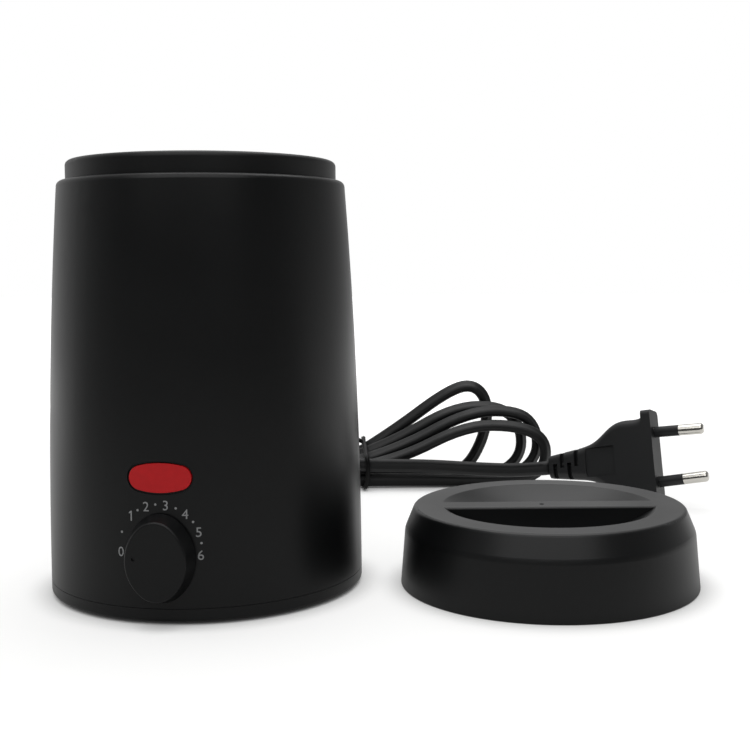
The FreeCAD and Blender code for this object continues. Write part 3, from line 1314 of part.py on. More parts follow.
def plug_pins():
    """Two round pins, necked where their sleeves go, with rounded tips."""
    pins = []
    for side in (-1, 1):
        pin = pin_rod(side, PIN_RADIUS, -PIN_ROOT, PIN_LENGTH)
        tip = pin.Edges
        pin = pin.makeFillet(PIN_RADIUS * 0.6, [edge for edge in tip if isinstance(edge.Curve, Part.Circle)
                                               and edge.Curve.Center.x > PIN_LENGTH - 0.5])
        neck = pin_rod(side, PIN_RADIUS + 1, 0, PIN_SLEEVE_LENGTH)
        neck = neck.cut(pin_rod(side, PIN_RADIUS - PIN_SLEEVE_WALL, -1, PIN_SLEEVE_LENGTH + 1))
        pins.append(plug_placed(pin.cut(neck)))
    return Part.makeCompound(pins)


def pin_sleeves():
    """Insulating sleeves round the roots of the pins."""
    sleeves = []
    for side in (-1, 1):
        sleeve = pin_rod(side, PIN_RADIUS, 0, PIN_SLEEVE_LENGTH)
        bore = pin_rod(side, PIN_RADIUS - PIN_SLEEVE_WALL, -1, PIN_SLEEVE_LENGTH + 1)
        sleeves.append(plug_placed(sleeve.cut(bore)))
    return Part.makeCompound(sleeves)


def cord_tail():
    """The cord from the tie to the plug's strain relief, which it meets square."""
    start = hank_place(TAIL_EXIT, layer(len(RIGHT_LOOPS)), TAIL_WAIST)
    end = plug_point(-relief_end())
    way = plug_point(0) - end
    way.normalize()
    route = [start] + [hank_place(*point) for point in TAIL_ROUTE] + [end - way * TAIL_STRAIGHT, end]
    return bent_tube(route, CORD_DIAMETER, "cord_tail")


def cord_tie():
    """Flat tie round the hank's waist, with its twisted end."""
    cord = CORD_DIAMETER / 2 + TIE_GAP
    front = layer(len(RIGHT_LOOPS)) - cord
    back = layer(0) + cord
    low = WAIST_LOW - cord
    front_top = TAIL_WAIST + cord
    waist, climb = RIGHT_LOOPS[0][:2]
    slope = math.radians(climb)
    back_top = waist + cord / math.cos(slope) + TIE_WIDTH / 2 * math.tan(slope)
    inner = ((front, low), (back, low), (back, back_top), (front, front_top))
    outer = ((front - TIE_THICK, low - TIE_THICK), (back + TIE_THICK, low - TIE_THICK),
             (back + TIE_THICK, back_top + TIE_THICK), (front - TIE_THICK, front_top + TIE_THICK))
    half = TIE_WIDTH / 2
    width = hank_place(half, 0, 0) - hank_place(-half, 0, 0)

    def slab(corners):
        points = [hank_place(-half, away, up) for away, up in corners]
        return Part.Face(Part.makePolygon(points + points[:1])).extrude(width)

    band = slab(outer)
    across = [edge for edge in band.Edges if abs(edge.Length - TIE_WIDTH) < 0.01]
    band = band.makeFillet(TIE_THICK, across).cut(slab(inner))
    root = hank_place(0, front - TIE_THICK / 2, front_top)
    twist = rod(TIE_TWIST_RADIUS, root, root + hank_way(120) * TIE_TWIST_LENGTH)
    return band.fuse(twist).removeSplitter()


MAKERS = (
    outer_shell, base_cover, foot_ring, base_screws, rim_collar, heating_well, wax_pot, bail_handle,
    heater_band, heater_straps, strap_screws, insulation_sleeve, thermal_fuse, fuse_clip,
    dial_knob, thermostat_shaft, thermostat_bush, thermostat_nut, thermostat_plate, thermostat_beads,
    contact_leaves, bimetal_strip, thermostat_rivet, indicator_lens, lamp_holder, neon_lamp,
    cord_gland, supply_tail, supply_cores, cord_clamp, clamp_screws, terminal_block, terminal_screws,
    live_lead, neutral_lead, fuse_leads, lamp_leads, lid,
    cord_lead, cord_hank, cord_tail, cord_tie, plug_body, plug_pins, pin_sleeves,
)


def main():
    """Build every piece and write each one to its own file."""
    os.makedirs("parts", exist_ok=True)
    for maker in MAKERS:
        shape = maker()
        solids = len(shape.Solids)
        if not shape.isValid() or solids == 0:
            raise ValueError(f"{maker.__name__} is not a valid solid")
        shape.exportStep(f"parts/{maker.__name__}.step")
        print(f"{maker.__name__}: {solids} solids, {shape.Volume:.1f} mm3")


main()
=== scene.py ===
"""Finishes, printed scale, flat cord, tie and studio for a wax warmer pot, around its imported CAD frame."""
import math

import bmesh
import bpy
from mathutils import Matrix, Vector


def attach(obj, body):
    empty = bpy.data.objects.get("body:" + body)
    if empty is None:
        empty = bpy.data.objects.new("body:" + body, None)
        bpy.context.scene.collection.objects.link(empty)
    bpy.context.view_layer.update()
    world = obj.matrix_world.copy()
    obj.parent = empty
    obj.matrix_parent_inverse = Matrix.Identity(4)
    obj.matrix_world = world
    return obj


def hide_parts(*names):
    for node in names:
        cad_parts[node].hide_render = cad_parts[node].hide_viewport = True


bl_info = {
    "name": "Wax warmer pot",
    "version": (1, 0, 0),
    "blender": (4, 5, 0),
    "location": "View3D > Sidebar > Wax warmer",
    "description": "Dresses a wax warmer pot's CAD frame with its finishes, scale, cord and studio",
    "category": "Object",
}

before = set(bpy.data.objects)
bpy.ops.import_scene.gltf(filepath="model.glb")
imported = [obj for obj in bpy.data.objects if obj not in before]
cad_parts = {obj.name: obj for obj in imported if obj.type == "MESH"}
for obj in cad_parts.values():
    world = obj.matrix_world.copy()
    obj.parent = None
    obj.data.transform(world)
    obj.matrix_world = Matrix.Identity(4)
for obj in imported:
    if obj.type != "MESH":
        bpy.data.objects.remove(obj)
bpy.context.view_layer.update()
MM = 0.001


def linear(code):
    """Linear colour of an sRGB hex value."""
    shares = [int(code[place:place + 2], 16) / 255 for place in (0, 2, 4)]
    return tuple(share / 12.92 if share <= 0.04045 else ((share + 0.055) / 1.055) ** 2.4 for share in shares)


def colour_property(label, words, code):
    """A colour setting whose default is an sRGB hex value."""
    return bpy.props.FloatVectorProperty(name=label, description=words, subtype="COLOR", size=3, min=0, max=1,
                                         default=linear(code))


def length_property(label, words, millimetres):
    """A length setting whose default is given in millimetres."""
    return bpy.props.FloatProperty(name=label, description=words, unit="LENGTH", precision=5,
                                   default=millimetres * MM)


def number_property(label, words, value, unit="NONE"):
    """A setting for an angle in degrees, a share, a power or a focal length."""
    return bpy.props.FloatProperty(name=label, description=words, unit=unit, default=value)


class WarmerFinishes(bpy.types.PropertyGroup):
    """Colours of the mouldings, lens, ink and cord."""

    casing: colour_property("Casing", "Black of the moulded casing and base", "08090A")
    collar: colour_property("Collar", "Black of the heat-proof collar", "08090A")
    lid: colour_property("Lid", "Black of the loose lid", "050607")
    knob: colour_property("Knob", "Black of the dial", "060708")
    lens: colour_property("Lens", "Red of the pilot lens", "BE1D21")
    ink: colour_property("Ink", "Grey of the printed scale", "909192")
    cord: colour_property("Cord", "Black of the cord and gland", "090A0B")
    tie: colour_property("Tie", "Black of the twist tie", "040404")
    plug: colour_property("Plug", "Black of the moulded plug", "161718")


class WarmerScale(bpy.types.PropertyGroup):
    """Printed scale round the dial."""

    height: length_property("Scale height", "Height of the scale's centre above the table", 20.34)
    aside: length_property("Scale offset", "How far right of the dial's axis the scale is printed", -0.31)
    radius: length_property("Scale radius", "Distance of the marks from the scale's centre", 10.65)
    digit: length_property("Digit height", "Height of the printed numbers", 2.55)
    dot: length_property("Dot radius", "Radius of the half-step dots", 0.3)
    ink_proud: length_property("Ink thickness", "How far the ink stands on the casing", 0.03)
    first: number_property("Angle of 0", "Angle of the 0, from the right", 189.5)
    one: number_property("Angle of 1", "Angle of the 1, from the right", 135.1)
    step: number_property("Half step", "Angle from the 1 to its dot", 13.0)
    growth: number_property("Growth", "How the half steps open towards the 6", 0.172)


class WarmerCord(bpy.types.PropertyGroup):
    """Flat two-core cord and its tie."""

    width: length_property("Cord width", "Width of the flat cord across its two cores", 5.4)
    thickness: length_property("Cord thickness", "Thickness of the flat cord", 3.6)
    groove: length_property("Groove", "Depth of the groove between the cores", 0.34)
    tie_width: length_property("Tie width", "Width of the tie's strip", 1.7)
    tie_thickness: length_property("Tie thickness", "Thickness of the tie's strip", 0.7)


class WarmerStage(bpy.types.PropertyGroup):
    """Floor, light and camera."""

    floor: colour_property("Floor", "Colour of the floor", "C4C4C3")
    ambient: number_property("Surround", "Brightness of the white surround", 0.68)
    right: number_property("Right side", "Share of the surround on the right", 0.44)
    front: number_property("Camera side", "Brightness low on the camera's side", 0.02)
    lift: number_property("Floor white", "White added to the floor near the pot", 0.53)
    top_lamp: number_property("Top lamp", "Power of the overhead softbox", 5.0, "POWER")
    front_lamp: number_property("Front lamp", "Power of the softbox over the camera", 4.3, "POWER")
    lens: number_property("Focal length", "Camera's focal length in millimetres", 56.455)


def add(tree, kind, settings=None, inputs=None, links=None):
    """Add a node, give it its settings and values, and link its inputs."""
    node = tree.nodes.new(kind)
    for key, value in (settings or {}).items():
        setattr(node, key, value)
    for key, value in (inputs or {}).items():
        node.inputs[key].default_value = value
    for key, source in (links or {}).items():
        tree.links.new(source, node.inputs[key])
    return node


def surface(name, colour, roughness, metallic=0.0, **sockets):
    """New material with its principled shader's even values set."""
    material = bpy.data.materials.new(name)
    material.use_nodes = True
    tree = material.node_tree
    shader = tree.nodes["Principled BSDF"]
    shader.inputs["Base Color"].default_value = (*colour, 1)
    shader.inputs["Roughness"].default_value = roughness
    shader.inputs["Metallic"].default_value = metallic
    for key, value in sockets.items():
        shader.inputs[key.replace("_", " ")].default_value = value
    return material, tree, shader


# Sockets of a mix node for colours, which share their names with its sockets for numbers
MIX_FIRST, MIX_SECOND, MIX_COLOUR = 6, 7, 2
# Values that nearly all of a noise lies between
NOISE_LOW, NOISE_HIGH = 0.3, 0.7
MID_GREY = 0.2
# Moulded plastic: size of its handling marks in millimetres, and tone and relief of its grain
HANDLING_SIZE, GRAIN_TONE, GRAIN_RELIEF = 38, 0.012, 0.6
# Turned metal: size of its cloudy patches in millimetres, range of rings times patches, and effects of both
PATCH_SIZE, RING_LOW, RING_HIGH, RING_TONE, RING_RELIEF = 14, 0.12, 0.4, 0.86, 0.5
RING_SMOOTHER, RING_ROUGHER = 0.08, 0.1
# Plated metal: size and depth of its handling marks in millimetres, their relief, and its darkest tone
MARK_SIZE, MARK_DEPTH, MARK_RELIEF, CLOUD_TONE = 0.8, 0.02, 0.25, 0.8


def scaled(colour, factor):
    """A colour times a factor, with its alpha."""
    return (*[value * factor for value in colour], 1)


def greyed(colour, share):
    """A colour moved towards mid grey by a share, with its alpha."""
    return (*[value + (MID_GREY - value) * share for value in colour], 1)


def link_finish(tree, shader, tone, gloss, bump):
    """Lead a finish's tone, gloss and relief to the shader."""
    tree.links.new(tone.outputs[MIX_COLOUR], shader.inputs["Base Color"])
    tree.links.new(gloss.outputs["Result"], shader.inputs["Roughness"])
    tree.links.new(bump.outputs["Normal"], shader.inputs["Normal"])


def moulded(name, colour, roughness, drift, grain, depth, ior=1.52, gloss_level=0.5):
    """Moulded plastic: a spark-eroded grain in millimetres, and gloss that drifts slowly with handling."""
    material, tree, shader = surface(name, colour, roughness, IOR=ior, Specular_IOR_Level=gloss_level)
    place = add(tree, "ShaderNodeTexCoord").outputs["Object"]
    fine = add(tree, "ShaderNodeTexNoise", inputs={"Scale": 1 / (grain * MM), "Detail": 2.0},
               links={"Vector": place})
    slow = add(tree, "ShaderNodeTexNoise", inputs={"Scale": 1 / (HANDLING_SIZE * MM), "Detail": 3.0},
               links={"Vector": place})
    gloss = add(tree, "ShaderNodeMapRange",
                inputs={"From Min": NOISE_LOW, "From Max": NOISE_HIGH,
                        "To Min": roughness - drift, "To Max": roughness + drift},
                links={"Value": slow.outputs["Fac"]})
    tone = add(tree, "ShaderNodeMix", {"data_type": "RGBA"},
               {MIX_FIRST: (*colour, 1), MIX_SECOND: greyed(colour, GRAIN_TONE)}, {0: fine.outputs["Fac"]})
    bump = add(tree, "ShaderNodeBump", inputs={"Strength": GRAIN_RELIEF, "Distance": depth * MM},
               links={"Height": fine.outputs["Fac"]})
    link_finish(tree, shader, tone, gloss, bump)
    return material


def turned_metal(name, colour, roughness, line, depth):
    """Metal spun or turned about the pot's axis: fine rings a given number of millimetres apart."""
    material, tree, shader = surface(name, colour, roughness, metallic=1.0)
    place = add(tree, "ShaderNodeTexCoord").outputs["Object"]
    parts = add(tree, "ShaderNodeSeparateXYZ", links={"Vector": place})
    flat = add(tree, "ShaderNodeCombineXYZ", links={"X": parts.outputs["X"], "Y": parts.outputs["Y"]})
    radius = add(tree, "ShaderNodeVectorMath", {"operation": "LENGTH"}, links={0: flat.outputs["Vector"]})
    rings = add(tree, "ShaderNodeCombineXYZ", links={"X": radius.outputs["Value"], "Y": parts.outputs["Z"]})
    lines = add(tree, "ShaderNodeTexNoise", {"noise_dimensions": "2D"},
                {"Scale": 1 / (line * MM), "Detail": 3.0}, {"Vector": rings.outputs["Vector"]})
    cloud = add(tree, "ShaderNodeTexNoise", inputs={"Scale": 1 / (PATCH_SIZE * MM), "Detail": 4.0},
                links={"Vector": place})
    both = add(tree, "ShaderNodeMath", {"operation": "MULTIPLY"},
               links={0: lines.outputs["Fac"], 1: cloud.outputs["Fac"]})
    gloss = add(tree, "ShaderNodeMapRange",
                inputs={"From Min": RING_LOW, "From Max": RING_HIGH,
                        "To Min": roughness - RING_SMOOTHER, "To Max": roughness + RING_ROUGHER},
                links={"Value": both.outputs["Value"]})
    tone = add(tree, "ShaderNodeMix", {"data_type": "RGBA"},
               {MIX_FIRST: scaled(colour, RING_TONE), MIX_SECOND: (*colour, 1)}, {0: lines.outputs["Fac"]})
    bump = add(tree, "ShaderNodeBump", inputs={"Strength": RING_RELIEF, "Distance": depth * MM},
               links={"Height": lines.outputs["Fac"]})
    link_finish(tree, shader, tone, gloss, bump)
    return material


def plated_metal(name, colour, roughness, cloud_size, spread):
    """Plated, rolled or drawn metal: a cloudy tone and gloss, with a trace of handling marks."""
    material, tree, shader = surface(name, colour, roughness, metallic=1.0)
    place = add(tree, "ShaderNodeTexCoord").outputs["Object"]
    cloud = add(tree, "ShaderNodeTexNoise", inputs={"Scale": 1 / (cloud_size * MM), "Detail": 5.0},
                links={"Vector": place})
    marks = add(tree, "ShaderNodeTexVoronoi", inputs={"Scale": 1 / (MARK_SIZE * MM)}, links={"Vector": place})
    gloss = add(tree, "ShaderNodeMapRange",
                inputs={"From Min": NOISE_LOW, "From Max": NOISE_HIGH,
                        "To Min": roughness - spread, "To Max": roughness + spread},
                links={"Value": cloud.outputs["Fac"]})
    tone = add(tree, "ShaderNodeMix", {"data_type": "RGBA"},
               {MIX_FIRST: scaled(colour, CLOUD_TONE), MIX_SECOND: (*colour, 1)}, {0: cloud.outputs["Fac"]})
    bump = add(tree, "ShaderNodeBump", inputs={"Strength": MARK_RELIEF, "Distance": MARK_DEPTH * MM},
               links={"Height": marks.outputs["Distance"]})
    link_finish(tree, shader, tone, gloss, bump)
    return material


def dress(material, *nodes):
    """Give CAD nodes a finish through their material slots."""
    for name in nodes:
        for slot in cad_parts[name].material_slots:
            slot.material = material


def deselect():
    """Clear the selection, so that the next operator acts only on what it adds."""
    if bpy.context.mode != "OBJECT":
        bpy.ops.object.mode_set(mode="OBJECT")
    bpy.ops.object.select_all(action="DESELECT")


def new_piece(name, mesh, material, body):
    """Object for a finished mesh, with its finish and its body."""
    piece = bpy.data.objects.new(name, mesh)
    bpy.context.scene.collection.objects.link(piece)
    mesh.materials.append(material)
    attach(piece, body)
    return piece


# Casing's side, in millimetres: a shallow arc from the foot to the ledge, drawn as a parabola
BASE_RADIUS = 44.0
LEDGE_RADIUS = 40.1
LEDGE_HEIGHT = 114.5
SIDE_BULGE = 1.05


def side_radius(height):
    """Radius of the casing at a height, in millimetres."""
    share = height / LEDGE_HEIGHT
    chord = BASE_RADIUS + (LEDGE_RADIUS - BASE_RADIUS) * share
    return chord + 4 * SIDE_BULGE * share * (1 - share)


# Hank of cord, in millimetres and degrees: place of its tie, turn of its run, and stacking of its loops
HANK_X, HANK_Y, HANK_TURN = 24.0, 149.1, 6.8
LOOP_STEP, LOOP_BACK = 5.6, 10.0
# height and climb at the tie, then along and up of the crest, then along and up of the far end
RIGHT_LOOPS = (
    (14.2, 34.0, 41.5, 40.0, 50.2, 26.5),
    (12.8, 22.0, 50.5, 31.6, 64.2, 17.0),
    (11.0, 17.0, 57.5, 30.4, 70.2, 17.5),
    (9.0, 11.5, 55.0, 25.2, 73.0, 13.2),
)
# corners of the line moved one by one to the tall loop's straight climb and narrow crest: along and up
TALL_LOOP = {2: (12.5, 21.8), 3: (32.6, 36.8), 4: (44.0, 40.9), 5: (50.9, 33.6), 6: (49.4, 18.0),
             7: (40.5, 2.8)}
FLOOR_BACK, FLOOR_ROOM, WAIST_LOW = 18.0, 2.2, 3.2
LEFT_REACH, LEFT_REACH_STEP, LEFT_APEX, LEFT_APEX_FALL = 58.0, 2.0, 29.0, 0.6
TAIL_WAIST, ENTRY_BACK, ENTRY_ASIDE = 10.2, 44.0, 4.6
FLOOR_LINE = 2.75
LEAD_ROUTE = ((0, 72, 11), (0, 84, 11), (-5, 97, 7.6), (-19, 106, 3.0), (-37, 110, 2.05), (-55, 116, 2.05),
              (-64.4, 131, 2.1), (-60.2, 148, 2.65), (-43.5, 156.4, 2.75))
TAIL_ROUTE = ((23, -12.6, 10.0), (45, -16.6, 9.0))
TAIL_STRAIGHT = 12.0
# below this two directions are taken to be the same
SAME_WAY = 1e-9
# Plug, lying on its narrow edge, in millimetres and degrees
PLUG_AT = (138.5, 115.4)
PLUG_YAW, PLUG_TILT, PLUG_LEAN = -20.0, 9.6, 13.5
PLUG_WIDTH, PLUG_THICK, PLUG_CORNER, FACE_DEPTH = 35.0, 11.0, 1.8, 3.6
RELIEF_END, FLOOR_GAP = 41.8, 0.15


def hank_place(along, away, up):
    """Point of the hank in the part's frame, in millimetres."""
    turn = math.radians(HANK_TURN)
    return Vector((HANK_X + along * math.cos(turn) - away * math.sin(turn),
                   HANK_Y + along * math.sin(turn) + away * math.cos(turn), up))


def hank_way(climb):
    """Direction in the plane of the loops, as an angle above the run."""
    angle = math.radians(climb)
    return hank_place(math.cos(angle), 0, math.sin(angle)) - hank_place(0, 0, 0)


def layer(loop):
    """How far a loop lies away from the viewer."""
    return LOOP_BACK - LOOP_STEP * loop


def hank_stations():
    """Points of the hank a quarter turn apart with their directions, from the lead to the tail."""
    stations = [(-ENTRY_BACK, layer(0) + ENTRY_ASIDE, FLOOR_LINE, 0)]
    for loop, (waist, climb, crest, crest_up, reach, reach_up) in enumerate(RIGHT_LOOPS):
        away, ahead = layer(loop), layer(loop + 1)
        left = LEFT_REACH + LEFT_REACH_STEP * loop
        left_apex = LEFT_APEX - LEFT_APEX_FALL * loop
        half = (left_apex - FLOOR_LINE) / 2
        stations += [
            (0, away, waist, climb),
            (crest, away, crest_up, 0),
            (reach, away, reach_up, -90),
            (reach - min(FLOOR_BACK, reach_up - FLOOR_LINE + FLOOR_ROOM), away, FLOOR_LINE, 180),
            (0, away, WAIST_LOW, 180),
            (half - left, ahead, FLOOR_LINE, 180),
            (-left, ahead, FLOOR_LINE + half, 90),
            (half - left, ahead, left_apex, 0),
        ]
    stations.append((0, layer(len(RIGHT_LOOPS)), TAIL_WAIST, 0))
    return [(hank_place(*station[:3]), hank_way(station[3])) for station in stations]


def loop_corners():
    """The two corners of the cord's line between each pair of stations, where their directions run to."""
    corners = []
    stations = hank_stations()
    for (start, way), (end, arrival) in zip(stations, stations[1:]):
        gap = end - start
        along = gap.dot(way + arrival)
        spread = 2 * (1 - way.dot(arrival))
        if spread < SAME_WAY:
            reach = gap.dot(gap) / (4 * gap.dot(arrival))
        else:
            reach = (-along + math.sqrt(along ** 2 + spread * gap.dot(gap))) / spread
        corners += [start + way * reach, end - arrival * reach]
    for place, (along, up) in TALL_LOOP.items():
        corners[place] = hank_place(along, layer(0), up)
    return corners


def plug_frame():
    """Plug's face centre in millimetres, and its turn: pins along X, width along Z."""
    turn = (Matrix.Rotation(math.radians(PLUG_YAW), 3, "Z")
            @ Matrix.Rotation(math.radians(-PLUG_TILT), 3, "Y")
            @ Matrix.Rotation(math.radians(-PLUG_LEAN), 3, "X"))
    width = PLUG_WIDTH / 2 - PLUG_CORNER
    thick = PLUG_THICK / 2 - PLUG_CORNER
    lowest = min((turn @ Vector((-FACE_DEPTH, side * thick, -width))).z for side in (-1, 1))
    lowest -= PLUG_CORNER * math.hypot(turn[2][1], turn[2][2])
    return Vector((*PLUG_AT, FLOOR_GAP - lowest)), turn


def cord_route():
    """Control points of the whole cord in millimetres, from the gland to the plug."""
    face, turn = plug_frame()
    way = turn @ Vector((1, 0, 0))
    end = face - way * RELIEF_END
    route = [Vector(point) for point in LEAD_ROUTE]
    route += loop_corners()
    route += [hank_place(*point) for point in TAIL_ROUTE]
    return route + [end - way * TAIL_STRAIGHT, end]


def smooth_line(points, closed=False, resolution=6):
    """Points in metres of the smooth line that a route's control points draw."""
    curve = bpy.data.curves.new("route", "CURVE")
    curve.dimensions = "3D"
    spline = curve.splines.new("NURBS")
    spline.points.add(len(points) - 1)
    for target, point in zip(spline.points, points):
        target.co = (*(point * MM), 1)
    spline.order_u = 3
    spline.use_endpoint_u = not closed
    spline.use_cyclic_u = closed
    spline.resolution_u = resolution
    carrier = bpy.data.objects.new("route", curve)
    bpy.context.scene.collection.objects.link(carrier)
    bpy.context.view_layer.update()
    line = bpy.data.meshes.new_from_object(carrier.evaluated_get(bpy.context.evaluated_depsgraph_get()))
    found = [vertex.co.copy() for vertex in line.vertices]
    bpy.data.objects.remove(carrier)
    bpy.data.meshes.remove(line)
    bpy.data.curves.remove(curve)
    return found


# Length given to the last stretch of a closed strip in its UV map, in metres
SEAM_STEP = 0.001


def strip_mesh(name, line, outline, across, roll=None, closed=False):
    """Mesh of an outline carried along a line, with its first axis kept near the vector across."""
    mesh = bpy.data.meshes.new(name)
    shape = bmesh.new()
    uv = shape.loops.layers.uv.new("UVMap")
    rings = []
    travelled = [0.0]
    for before, here in zip(line, line[1:]):
        travelled.append(travelled[-1] + (here - before).length)
    side = across.normalized()
    count = len(line)
    for index, here in enumerate(line):
        before = line[index - 1] if index or closed else here
        after = line[(index + 1) % count] if index < count - 1 or closed else here
        way = (after - before).normalized()
        side = (side - way * side.dot(way)).normalized()
        turn = Matrix.Rotation(roll(travelled[index], travelled[-1]), 3, way) if roll else Matrix.Identity(3)
        wide = turn @ side
        thick = way.cross(wide)
        rings.append([shape.verts.new(here + wide * a + thick * b) for a, b in outline])
    around = len(outline)
    girth = [0.0]
    for here, following in zip(outline, outline[1:] + outline[:1]):
        girth.append(girth[-1] + math.dist(here, following))
    pairs = list(zip(range(count), range(1, count)))
    if closed:
        pairs.append((count - 1, 0))
    for low, high in pairs:
        for corner in range(around):
            following = (corner + 1) % around
            face = shape.faces.new((rings[low][corner], rings[low][following], rings[high][following],
                                    rings[high][corner]))
            near, far = girth[corner], girth[corner + 1]
            start = travelled[low]
            end = travelled[high] if high else start + SEAM_STEP
            for loop, place in zip(face.loops, ((near, start), (far, start), (far, end), (near, end))):
                loop[uv].uv = place
            face.smooth = True
    if not closed:
        shape.faces.new(list(reversed(rings[0])))
        shape.faces.new(rings[-1])
    bmesh.ops.recalc_face_normals(shape, faces=shape.faces)
    shape.to_mesh(mesh)
    shape.free()
    return mesh


# How steeply the two cores of the flat cord part from its middle
CORE_PARTING = 2.5


def flat_outline(width, thickness, groove, corners=28):
    """Outline of a flat two-core cord: two round cores side by side with a shallow groove between."""
    outline = []
    offset = (width - thickness) / 2
    for corner in range(corners):
        angle = 2 * math.pi * corner / corners
        across = math.cos(angle)
        apart = math.copysign(offset, across) * min(1, abs(across) * CORE_PARTING)
        a = across * thickness / 2 + apart
        b = math.sin(angle) * (thickness / 2 - groove * max(0.0, 1 - (a / offset) ** 2))
        outline.append((a, b))
    return outline


# Extruded PVC, in millimetres: width and length of its die lines, their depth, and size of its cloudy patches
DIE_LINE, DIE_LINE_LENGTH, DIE_LINE_DEPTH, SHEEN_SIZE = 0.35, 40, 0.04, 9
DIE_RELIEF, SHEEN_TONE, SHEEN_SMOOTHER, SHEEN_ROUGHER = 0.5, 0.02, 0.06, 0.08


def extruded_pvc(name, colour, roughness, gloss_level):
    """Extruded PVC: lengthwise die lines and a soft, slightly uneven sheen."""
    material, tree, shader = surface(name, colour, roughness, IOR=1.53, Specular_IOR_Level=gloss_level)
    place = add(tree, "ShaderNodeTexCoord")
    # die lines are drawn about three times as coarse as the real ones, so that they show at this size
    stretch = add(tree, "ShaderNodeMapping",
                  inputs={"Scale": (1 / (DIE_LINE * MM), 1 / (DIE_LINE_LENGTH * MM), 1)},
                  links={"Vector": place.outputs["UV"]})
    lines = add(tree, "ShaderNodeTexNoise", inputs={"Scale": 1.0, "Detail": 2.0},
                links={"Vector": stretch.outputs["Vector"]})
    cloud = add(tree, "ShaderNodeTexNoise", inputs={"Scale": 1 / (SHEEN_SIZE * MM), "Detail": 3.0},
                links={"Vector": place.outputs["Object"]})
    gloss = add(tree, "ShaderNodeMapRange",
                inputs={"From Min": NOISE_LOW, "From Max": NOISE_HIGH,
                        "To Min": roughness - SHEEN_SMOOTHER, "To Max": roughness + SHEEN_ROUGHER},
                links={"Value": cloud.outputs["Fac"]})
    tone = add(tree, "ShaderNodeMix", {"data_type": "RGBA"},
               {MIX_FIRST: (*colour, 1), MIX_SECOND: greyed(colour, SHEEN_TONE)}, {0: cloud.outputs["Fac"]})
    bump = add(tree, "ShaderNodeBump", inputs={"Strength": DIE_RELIEF, "Distance": DIE_LINE_DEPTH * MM},
               links={"Height": lines.outputs["Fac"]})
    link_finish(tree, shader, tone, gloss, bump)
    return material


# How the flat cord rolls about its own line: degrees, and metres along it
LOOP_ROLL, ROLL_DRIFT, TAIL_ROLL = 43.0, 21.0, 86.0
LOOPS_FROM, TAIL_FROM, ROLL_OVER, ROLL_WAVE, WAVE_FROM = 0.125, 0.175, 0.06, 0.0457, 0.304


def eased(share):
    """A share kept between 0 and 1, with a soft start and end."""
    share = min(1.0, max(0.0, share))
    return share * share * (3 - 2 * share)


class WARMER_OT_cord(bpy.types.Operator):
    """Flat cord from the gland, round the hank's loops, to the plug"""

    bl_idname = "warmer.cord"
    bl_label = "Flat cord"

    def execute(self, context):
        sizes = context.scene.warmer_cord
        line = smooth_line(cord_route())

        def roll(travelled, length):
            loops = eased((travelled - LOOPS_FROM) / ROLL_OVER)
            tail = eased((travelled - length + TAIL_FROM) / ROLL_OVER)
            lean = loops * (LOOP_ROLL + ROLL_DRIFT * math.sin((travelled - WAVE_FROM) / ROLL_WAVE))
            return math.radians(lean * (1 - tail) + TAIL_ROLL * tail)

        outline = flat_outline(sizes.width, sizes.thickness, sizes.groove)
        mesh = strip_mesh("mains_cord", line, outline, Vector((1, 0, 0)), roll)
        # PVC sheath: soft black with a dull sheen along the run
        pvc = extruded_pvc("Extruded PVC sheath", context.scene.warmer_finishes.cord, roughness=0.44,
                           gloss_level=0.32)
        piece = new_piece("mains_cord", mesh, pvc, "housing")
        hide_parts("cord_lead", "cord_hank", "cord_tail")
        return {"FINISHED"}


# Tie's band round the waist of the hank, along it, away from the viewer and up, in millimetres
TIE_BAND = ((-0.6, -14.8, 0.9), (-0.8, -8, 0.75), (-1, 2, 0.75), (-1, 12.6, 0.9), (-1, 13.3, 6),
            (-1.4, 13.3, 13), (-1.8, 13.2, 18.6), (-1.6, 7, 18.0), (-0.8, -2, 16.2), (0, -9, 14.6),
            (0.6, -15, 14.0), (1, -15.8, 10), (0.7, -15.7, 4))
TIE_KNOT = (-1.6, 4, 16.6)
# Strip's ridge over its wire, in shares of half its thickness, and the ridge's foot in shares of half-width
RIDGE, SHOULDER, EDGE, RIDGE_FOOT = 1.7, 0.5, 0.4, 0.3
# Twisted ends: how far each leans, in degrees
END_LEANS = (138, 156)
# their points: turn from that lean, then distance from the knot and spread, in millimetres
END_POINTS = ((-20, 1.4, 0.0), (0, 3.0, 0.6), (24, 5.6, 1.2))
# Width left to a twisted strip, and how far along it a radian of twist takes, in metres
END_WIDTH, END_TWIST = 0.55, 0.0021


